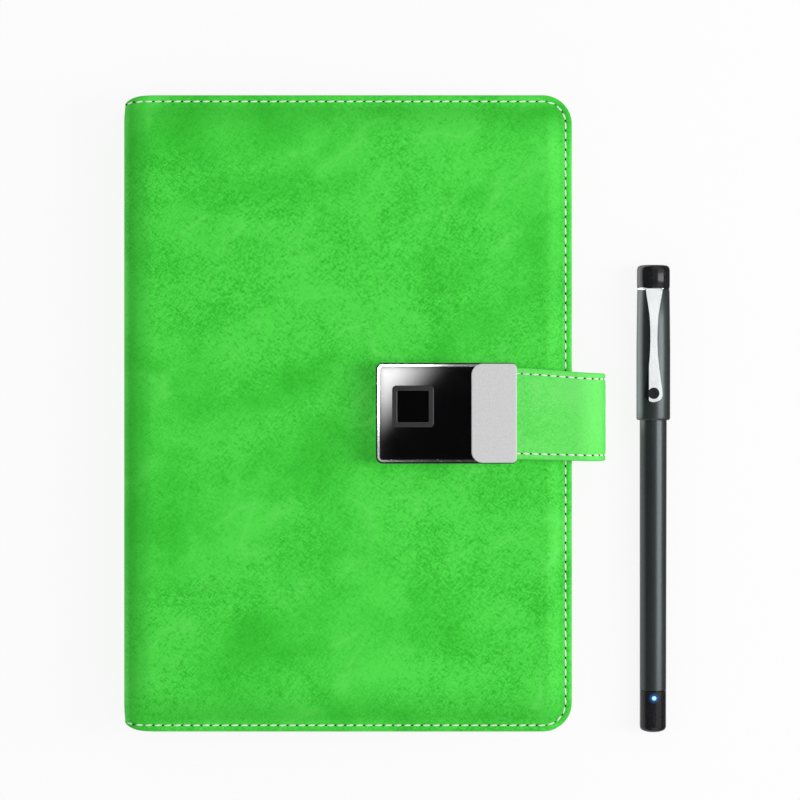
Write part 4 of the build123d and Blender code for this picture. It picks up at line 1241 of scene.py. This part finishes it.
# Pen
class PenForm:
    """Where the pen lies, the measures of its clip, and the outlines of its turned pieces.

    An outline is (place along the pen, radius) in millimetres, and is turned round the pen's axis.
    """

    cap_mouth = 109.0 * MM
    cap_end = 155.1 * MM
    tail_rest = 1.9 * MM
    tail_radius = 4.62 * MM
    cap_radius = 5.9 * MM
    clip_rise = 0.7 * MM
    clip_thickness = 0.8 * MM
    clip_length = 39.7 * MM
    dimple_from_end = 3.1 * MM
    clip_shift = -0.5 * MM
    clip_top = cap_radius + clip_rise + clip_thickness
    clip_start = cap_end - 0.1 * MM

    # Painted tube with a fine groove where the tail joins it
    barrel = ((14.6, 3.9), (14.6, 4.50), (14.72, 4.62), (60.0, 4.67), (108.0, 4.73), (115.85, 4.73),
              (116.0, 4.60), (116.0, 3.93))
    # Black end with a flat, a rounded chamfer and a straight side
    tail = ((0.0, 0.0), (0.0, 2.35), (0.12, 2.75), (0.42, 3.62), (0.85, 4.22), (1.35, 4.50), (1.95, 4.62),
            (14.35, 4.62), (14.47, 4.50), (14.47, 3.9), (14.47, 0.0))
    # Cap with a rolled lip, drawn in a little towards the ring, and its stepped bore
    cap_tube = ((147.5, 5.05), (109.3, 5.05), (109.05, 5.16), (109.0, 5.42), (109.12, 5.66), (109.4, 5.83),
                (109.85, 5.90), (134.4, 5.90), (144.0, 5.80), (154.2, 5.67), (154.4, 5.55), (154.4, 4.6),
                (148.4, 4.6))
    # Black end of the cap, a little wider than the ring, with a short round edge and a low crown
    cap_crown = ((150.4, 0.0), (150.4, 4.5), (155.1, 4.5), (155.1, 5.62), (155.25, 5.74), (158.5, 5.78),
                 (161.4, 5.76), (162.1, 5.62), (162.65, 5.28), (162.95, 4.75), (163.1, 3.9), (163.2, 0.0))
    # Bright ring with rounded edges
    ring = ((154.42, 4.7), (154.42, 5.60), (154.55, 5.70), (154.75, 5.73), (154.95, 5.70), (155.08, 5.60),
            (155.08, 4.7))

    def __init__(self):
        low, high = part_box("pen_barrel")
        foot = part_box("pen_tail")[0].y
        slope = math.atan((self.cap_radius - self.tail_radius) / (self.cap_mouth - self.tail_rest))
        place = Matrix.Translation(Vector(((low.x + high.x) / 2, foot, self.tail_radius)))
        self.place = place @ Matrix.Rotation(slope, 4, "X")

    def clip_place(self):
        """The pen's place, moved sideways as far as the clip sits off the middle."""
        return self.place @ Matrix.Translation(Vector((self.clip_shift, 0.0, 0.0)))


def make_turned(name, outline, form, finish, body, node):
    """A piece turned round the pen's axis from its outline in millimetres."""
    mesh = bmesh.new()
    spots = [(0.0, along * MM, radius * MM) for along, radius in outline]
    first = vertex = mesh.verts.new(spots[0])
    for spot in spots[1:]:
        vertex = bmesh.ops.extrude_vert_indiv(mesh, verts=[vertex])["verts"][0]
        vertex.co = spot
    if outline[0][1] > 0.0:
        mesh.edges.new((first, vertex))
    bmesh.ops.spin(mesh, geom=mesh.verts[:] + mesh.edges[:], cent=(0.0, 0.0, 0.0), axis=(0.0, 1.0, 0.0),
                   angle=math.tau, steps=64, use_merge=True, use_duplicate=False)
    merge_and_face(mesh, 0.0005 * MM)
    bmesh.ops.transform(mesh, matrix=form.place, verts=mesh.verts)
    piece = new_piece(name, mesh, [finish], finish)
    crease_edges(piece, 42.0)
    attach(piece, body)
    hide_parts(node)


def clip_half_width(share):
    """Half the clip's width in metres, from its fold at 0 to its round end at 1."""
    spots = ((0.0, 3.05), (0.05, 2.75), (0.12, 2.25), (0.22, 1.62), (0.34, 1.32), (0.46, 1.28), (0.58, 1.48),
             (0.70, 1.95), (0.80, 2.50), (0.875, 2.95), (0.93, 3.15))
    for (start, low), (end, high) in zip(spots, spots[1:]):
        if share <= end:
            return (low + (high - low) * (share - start) / (end - start)) * MM
    round_start, widest = spots[-1]
    left = min(1.0, (share - round_start) / (1.0 - round_start))
    return widest * MM * math.sqrt(max(0.0, 1.0 - left * left))


def make_clip(form):
    """Sprung clip: folded down into the cap, waisted, crowned along its middle, with a round end and a painted
    dark reflection on its flanks.
    """
    columns, rows = 17, 76
    leg_rows, fold_rows = 4, 8
    table_columns = 4.0
    top, start, length = form.clip_top, form.clip_start, form.clip_length
    foot = form.cap_radius - 0.4 * MM
    fold = 0.9 * MM
    widest_table = 1.65 * MM
    table_share, flank_slope, flank_lean = 0.90, 0.52, 0.3

    def position(column, row):
        share = 0.0
        if row < leg_rows:
            along, level = start, foot + (top - fold - form.cap_radius) * row / leg_rows
        elif row < leg_rows + fold_rows:
            angle = math.pi / 2 * (row - leg_rows + 1) / (fold_rows + 1)
            along, level = start - fold * (1 - math.cos(angle)), top - fold * (1 - math.sin(angle))
        else:
            left = (row - leg_rows - fold_rows) / (rows - 1 - leg_rows - fold_rows)
            share = 1.0 - (1.0 - left) ** 1.25
            along, level = start - fold - (length - fold) * share, top
        half = clip_half_width(share)
        table = min(half * table_share, widest_table) if share > 0.5 else half * table_share
        offset = column - (columns - 1) / 2
        flank = max(0.0, abs(offset) - table_columns) / table_columns
        on_table = min(abs(offset), table_columns) / table_columns
        side = math.copysign(table * on_table + (half - table) * flank, offset)
        return Vector((side, along, level - (half - table) * flank * flank_slope))

    mesh = grid_sheet(columns, rows, position)
    merge_and_face(mesh, 0.01 * MM)
    if max(mesh.faces, key=lambda face: face.calc_center_median().z).normal.z < 0:
        bmesh.ops.reverse_faces(mesh, faces=mesh.faces)
    # Painted reflection: faces on the flanks take a darker chrome for the dark they would reflect.
    for face in mesh.faces:
        face.material_index = int(abs(face.normal.x) > flank_lean)
    bmesh.ops.transform(mesh, matrix=form.clip_place(), verts=mesh.verts)
    clip = new_piece("pen_clip", mesh, ["pen_chrome", "clip_painted_dark_reflection"], "pen_chrome")
    add_wall(clip, form.clip_thickness * 0.75, -1.0)
    round_edges(clip, 0.12 * MM, 60.0)
    apply_modifiers(clip)
    crease_edges(clip, 21.0)
    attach(clip, "pen_cap")
    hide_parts("cap_clip")


def make_dimple(form):
    """Dark round inlay in a thin bright rim at the clip's end."""
    segments = 40
    sunk = 0.32 * MM
    middle = form.clip_start - form.clip_length + form.dimple_from_end
    place = form.clip_place() @ Matrix.Translation(Vector((0.0, middle, form.clip_top - sunk)))
    mesh = bmesh.new()
    bmesh.ops.create_cone(mesh, cap_ends=True, segments=segments, radius1=2.0 * MM, radius2=1.98 * MM,
                          depth=1.0 * MM, matrix=place)
    mesh.normal_update()
    upper = [face for face in mesh.faces if len(face.verts) == segments and face.normal.z > 0]
    for inset, drop in ((0.10, 0.02), (0.20, -0.05), (0.45, -0.03), (0.45, -0.01)):
        bmesh.ops.inset_region(mesh, faces=upper, thickness=inset * MM, depth=drop * MM)
    inlay = new_piece("clip_dimple", mesh, ["pen_inlay"], "pen_inlay")
    crease_edges(inlay, 35.0)
    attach(inlay, "pen_cap")
    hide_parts("clip_inlay")


class OBJECT_OT_capped_pen(bpy.types.Operator):
    """Make the pen's barrel, tail and cap with its ring, clip and dimple"""

    bl_idname = "notebook.capped_pen"
    bl_label = "Capped pen"

    def execute(self, context):
        form = PenForm()
        pieces = (
            ("turned_barrel", form.barrel, "pen_satin", "pen", "pen_barrel"),
            ("turned_tail", form.tail, "pen_gloss", "pen", "pen_tail"),
            ("turned_cap", form.cap_tube, "cap_satin", "pen_cap", "cap_tube"),
            ("turned_crown", form.cap_crown, "pen_gloss", "pen_cap", "cap_end"),
            ("turned_ring", form.ring, "pen_chrome", "pen_cap", "cap_ring"),
        )
        for name, outline, finish, body, node in pieces:
            make_turned(name, outline, form, finish, body, node)
        make_clip(form)
        make_dimple(form)
        return {"FINISHED"}


# Carried-over solids
class OBJECT_OT_solid_finishes(bpy.types.Operator):
    """Give every solid of the frame that stays the finish of its own material slot"""

    bl_idname = "notebook.solid_finishes"
    bl_label = "Solid finishes"

    def execute(self, context):
        slots = {}
        for piece in frame["record"]["materials"]:
            for node in piece.get("nodes", []):
                slots[node] = piece["slot"]
        for name, node in frame["nodes"].items():
            slot = slots.get(name) or node.data.materials[0].name
            finish = FINISHES.get(slot)
            if finish is None:
                raise RuntimeError("no finish for " + name + " in slot " + slot)
            node.data.materials.clear()
            node.data.materials.append(finish)
        return {"FINISHED"}


# Stage
def make_floor(stage):
    """A plain white floor that keeps the soft shadow and shows white to the camera and in reflections."""
    mesh = bmesh.new()
    bmesh.ops.create_grid(mesh, x_segments=2, y_segments=2, size=stage.floor_size / 2)
    floor = placed_mesh("floor", mesh)
    finish = Finish("floor_white")
    grain = finish.noise(finish.place(), 40.0, 2.0)
    paint = finish.node("ShaderNodeBsdfPrincipled", None, {
        "Base Color": finish.blend(grain, (0.88, 0.88, 0.88), (0.90, 0.90, 0.90)),
        "Roughness": 0.9, "Specular IOR Level": 0.1})
    glow = finish.node("ShaderNodeEmission", None, {"Color": WHITE, "Strength": 1.0})
    seen = seen_as_background(finish)
    both = finish.node("ShaderNodeMixShader", None, {0: seen * 0.88, 1: paint, 2: glow})
    finish.node("ShaderNodeOutputMaterial", None, {"Surface": both})
    floor.data.materials.append(finish.material)


def seen_as_background(finish):
    """1 for rays of the camera, of reflections and of glass, and 0 for the light that falls on things."""
    camera, glossy, through = (finish.node("ShaderNodeLightPath", output=ray)
                               for ray in ("Is Camera Ray", "Is Glossy Ray", "Is Transmission Ray"))
    return finish.maths("MAXIMUM", finish.maths("MAXIMUM", camera, glossy), through)


def make_sky(stage):
    """A plain white world, dimmer as light than it looks as a background."""
    world = bpy.data.worlds.new("studio")
    bpy.context.scene.world = world
    finish = Finish(world)
    sky, backdrop = (finish.node("ShaderNodeBackground", None, {"Color": WHITE, "Strength": level})
                     for level in (stage.sky_level, 1.0))
    both = finish.node("ShaderNodeMixShader", None, {0: seen_as_background(finish), 1: sky, 2: backdrop})
    finish.node("ShaderNodeOutputWorld", None, {"Surface": both})


def make_lamp(name, place, target, width, watts):
    """A strip lamp, long along the pen, aimed at a point."""
    data = bpy.data.lights.new(name, "AREA")
    data.shape = "RECTANGLE"
    data.size = width
    data.size_y = 0.95
    data.energy = watts
    lamp = bpy.data.objects.new(name, data)
    lamp.location = place
    lamp.rotation_euler = (Vector(target) - Vector(place)).to_track_quat("-Z", "Y").to_euler()
    bpy.context.scene.collection.objects.link(lamp)


def make_gloss_card(name, place, width, length, paint, upright=False):
    """A flat card that only gloss reflects; paint gives its light from a finish."""
    matrix = Matrix.Translation(Vector(place))
    if upright:
        matrix = matrix @ Matrix.Rotation(math.pi / 2, 4, "Y")
    mesh = bmesh.new()
    bmesh.ops.create_grid(mesh, x_segments=1, y_segments=1, size=0.5,
                          matrix=matrix @ Matrix.Diagonal((width, length, 1.0, 1.0)))
    card = placed_mesh(name, mesh)
    finish = Finish(name)
    glow = finish.node("ShaderNodeEmission", None, {"Color": WHITE, "Strength": paint(finish)})
    finish.node("ShaderNodeOutputMaterial", None, {"Surface": glow})
    card.data.materials.append(finish.material)
    card.visible_camera = False
    card.visible_diffuse = False
    card.visible_shadow = False
    card.visible_transmission = False


def within(signal, low, high):
    """1 where a signal lies between two values, with narrow soft ends."""
    soft = 0.0006
    return signal.clear(low - soft, low + soft) * (1.0 - signal.clear(high - soft, high + soft))


def flag_paint(finish, stage):
    """Dark over the lock, with a white patch for its glass and pale strips for its rim and the pen's clip.

    Each is placed where the camera sees it reflected in the lock's level top.
    """
    across, along = finish.axis("X"), finish.axis("Y")
    low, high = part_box("glass_panel")
    rise = (stage.flag_height - high.z) / (stage.camera_height - high.z)

    def seen_x(x):
        return x + (x - stage.camera_x) * rise

    def seen_y(y):
        return y + (y - stage.camera_y) * rise

    left, right, foot, head = seen_x(low.x), seen_x(high.x), seen_y(low.y), seen_y(high.y)
    fade_width, fade_height, patch_level = 0.050, 0.056, 31.0
    fade = (across - left) / fade_width + (head - along) / fade_height
    glass = within(across, left, right) * within(along, foot, head)
    inner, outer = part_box("fingerprint_sensor")
    edge = 0.5 * MM
    window = (within(across, seen_x(inner.x - edge), seen_x(outer.x + edge))
              * within(along, seen_y(inner.y - edge), seen_y(outer.y + edge)))
    patch = (1.0 - fade).clear(0.0, 1.0) * patch_level * glass * (1.0 - window)
    reach, gap, overlap = 0.45, 0.0010, 0.010
    rows = within(along, foot - overlap, head + overlap)
    columns = within(across, left - overlap, right + overlap)
    rim = within(across, left - reach, left - gap) * rows * 1.1
    rim = rim + within(across, right, right + 0.02) * rows * 0.8
    rim = rim + within(along, head + gap, head + reach) * columns * 0.50
    rim = rim + within(along, foot - reach, foot - gap) * columns * 0.09
    clip_low, clip_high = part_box("cap_clip")
    spread = 0.004
    strip = within(across, seen_x(clip_low.x) - spread, seen_x(clip_high.x) + spread)
    strip = strip * along.clear(-0.034, -0.024)
    pen_side = across.clear(0.125, 0.150) * stage.flag_level
    return patch + rim + strip * 1.2 + pen_side + 0.010


def near_paint(finish):
    """Pale near the table and dark above, between the book and the pen."""
    level, along = finish.axis("Z"), finish.axis("Y")
    return (1.0 - level.clear(0.008, 0.013)) * (along.clear(-0.008, 0.0) * 2.4 + 1.1) + 0.03


def even_dark(finish):
    """A dark cloth's slight unevenness."""
    return finish.noise(finish.place(), 30.0, 2.0) * 0.02 + 0.02


def make_cards(stage):
    """The dark flag over the set, and cards to both sides of the pen for its bright and dark edges."""
    table_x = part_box("cap_tube")[1].x + 0.304
    make_gloss_card("dark_flag", (0.0, 0.0, stage.flag_height), 1.1, 1.1,
                    lambda finish: flag_paint(finish, stage))
    make_gloss_card("table_card", (table_x, 0.0, 0.0004), 0.6, 1.6, even_dark)
    make_gloss_card("far_card", (0.62, 0.0, 0.10), 0.20, 1.6, even_dark, upright=True)
    make_gloss_card("near_card", (0.0925, 0.0, 0.030), 0.06, 0.5, near_paint, upright=True)


class OBJECT_OT_notebook_stage(bpy.types.Operator):
    """Set up the camera straight above, the white floor and the soft lamps"""

    bl_idname = "notebook.stage"
    bl_label = "Stage"

    def execute(self, context):
        stage = context.scene.notebook_stage
        data = bpy.data.cameras.new("overhead_camera")
        data.lens = stage.lens
        data.sensor_width = 36.0
        data.clip_start = 0.01
        data.clip_end = 20.0
        camera = bpy.data.objects.new("overhead_camera", data)
        camera.location = (stage.camera_x, stage.camera_y, stage.camera_height)
        context.scene.collection.objects.link(camera)
        context.scene.camera = camera
        context.scene.view_settings.view_transform = "Standard"
        make_floor(stage)
        make_sky(stage)
        make_cards(stage)
        target = (0.05, 0.0, 0.01)
        make_lamp("key_lamp", (0.90, 0.0, 0.62), target, 0.34, stage.key_power)
        make_lamp("fill_lamp", (-0.72, 0.0, 0.66), target, 0.20, stage.fill_power)
        return {"FINISHED"}


class VIEW3D_PT_notebook(bpy.types.Panel):
    """Sizes, colours and pieces of the smart notebook"""

    bl_label = "Smart Notebook"
    bl_space_type = "VIEW_3D"
    bl_region_type = "UI"
    bl_category = "Notebook"

    def draw(self, context):
        layout = self.layout
        for name in GROUPS:
            group = getattr(context.scene, name)
            box = layout.box()
            for key in group.__annotations__:
                box.prop(group, key)
        for operator in OPERATORS:
            layout.operator(operator.bl_idname)


OPERATORS = (
    OBJECT_OT_solid_finishes,
    OBJECT_OT_cover_leather,
    OBJECT_OT_closure_strap,
    OBJECT_OT_inner_book,
    OBJECT_OT_fingerprint_lock,
    OBJECT_OT_capped_pen,
    OBJECT_OT_notebook_stage,
)
GROUPS = {
    "notebook_case": NotebookCaseSettings,
    "notebook_lock": NotebookLockSettings,
    "notebook_pen": NotebookPenSettings,
    "notebook_stage": NotebookStageSettings,
}


def register():
    """Register the settings, operators and panel."""
    for name, group in GROUPS.items():
        bpy.utils.register_class(group)
        setattr(bpy.types.Scene, name, PointerProperty(type=group))
    for operator in OPERATORS:
        bpy.utils.register_class(operator)
    bpy.utils.register_class(VIEW3D_PT_notebook)


def unregister():
    """Take the panel, operators and settings out again."""
    bpy.utils.unregister_class(VIEW3D_PT_notebook)
    for operator in reversed(OPERATORS):
        bpy.utils.unregister_class(operator)
    for name, group in GROUPS.items():
        delattr(bpy.types.Scene, name)
        bpy.utils.unregister_class(group)


def main():
    """Dress the frame piece by piece."""
    register()
    FINISHES.update(make_finishes(bpy.context.scene))
    bpy.ops.notebook.solid_finishes()
    bpy.ops.notebook.cover_leather()
    bpy.ops.notebook.closure_strap()
    bpy.ops.notebook.inner_book()
    bpy.ops.notebook.fingerprint_lock()
    bpy.ops.notebook.capped_pen()
    bpy.ops.notebook.stage()


if __name__ == "__main__":
    main()
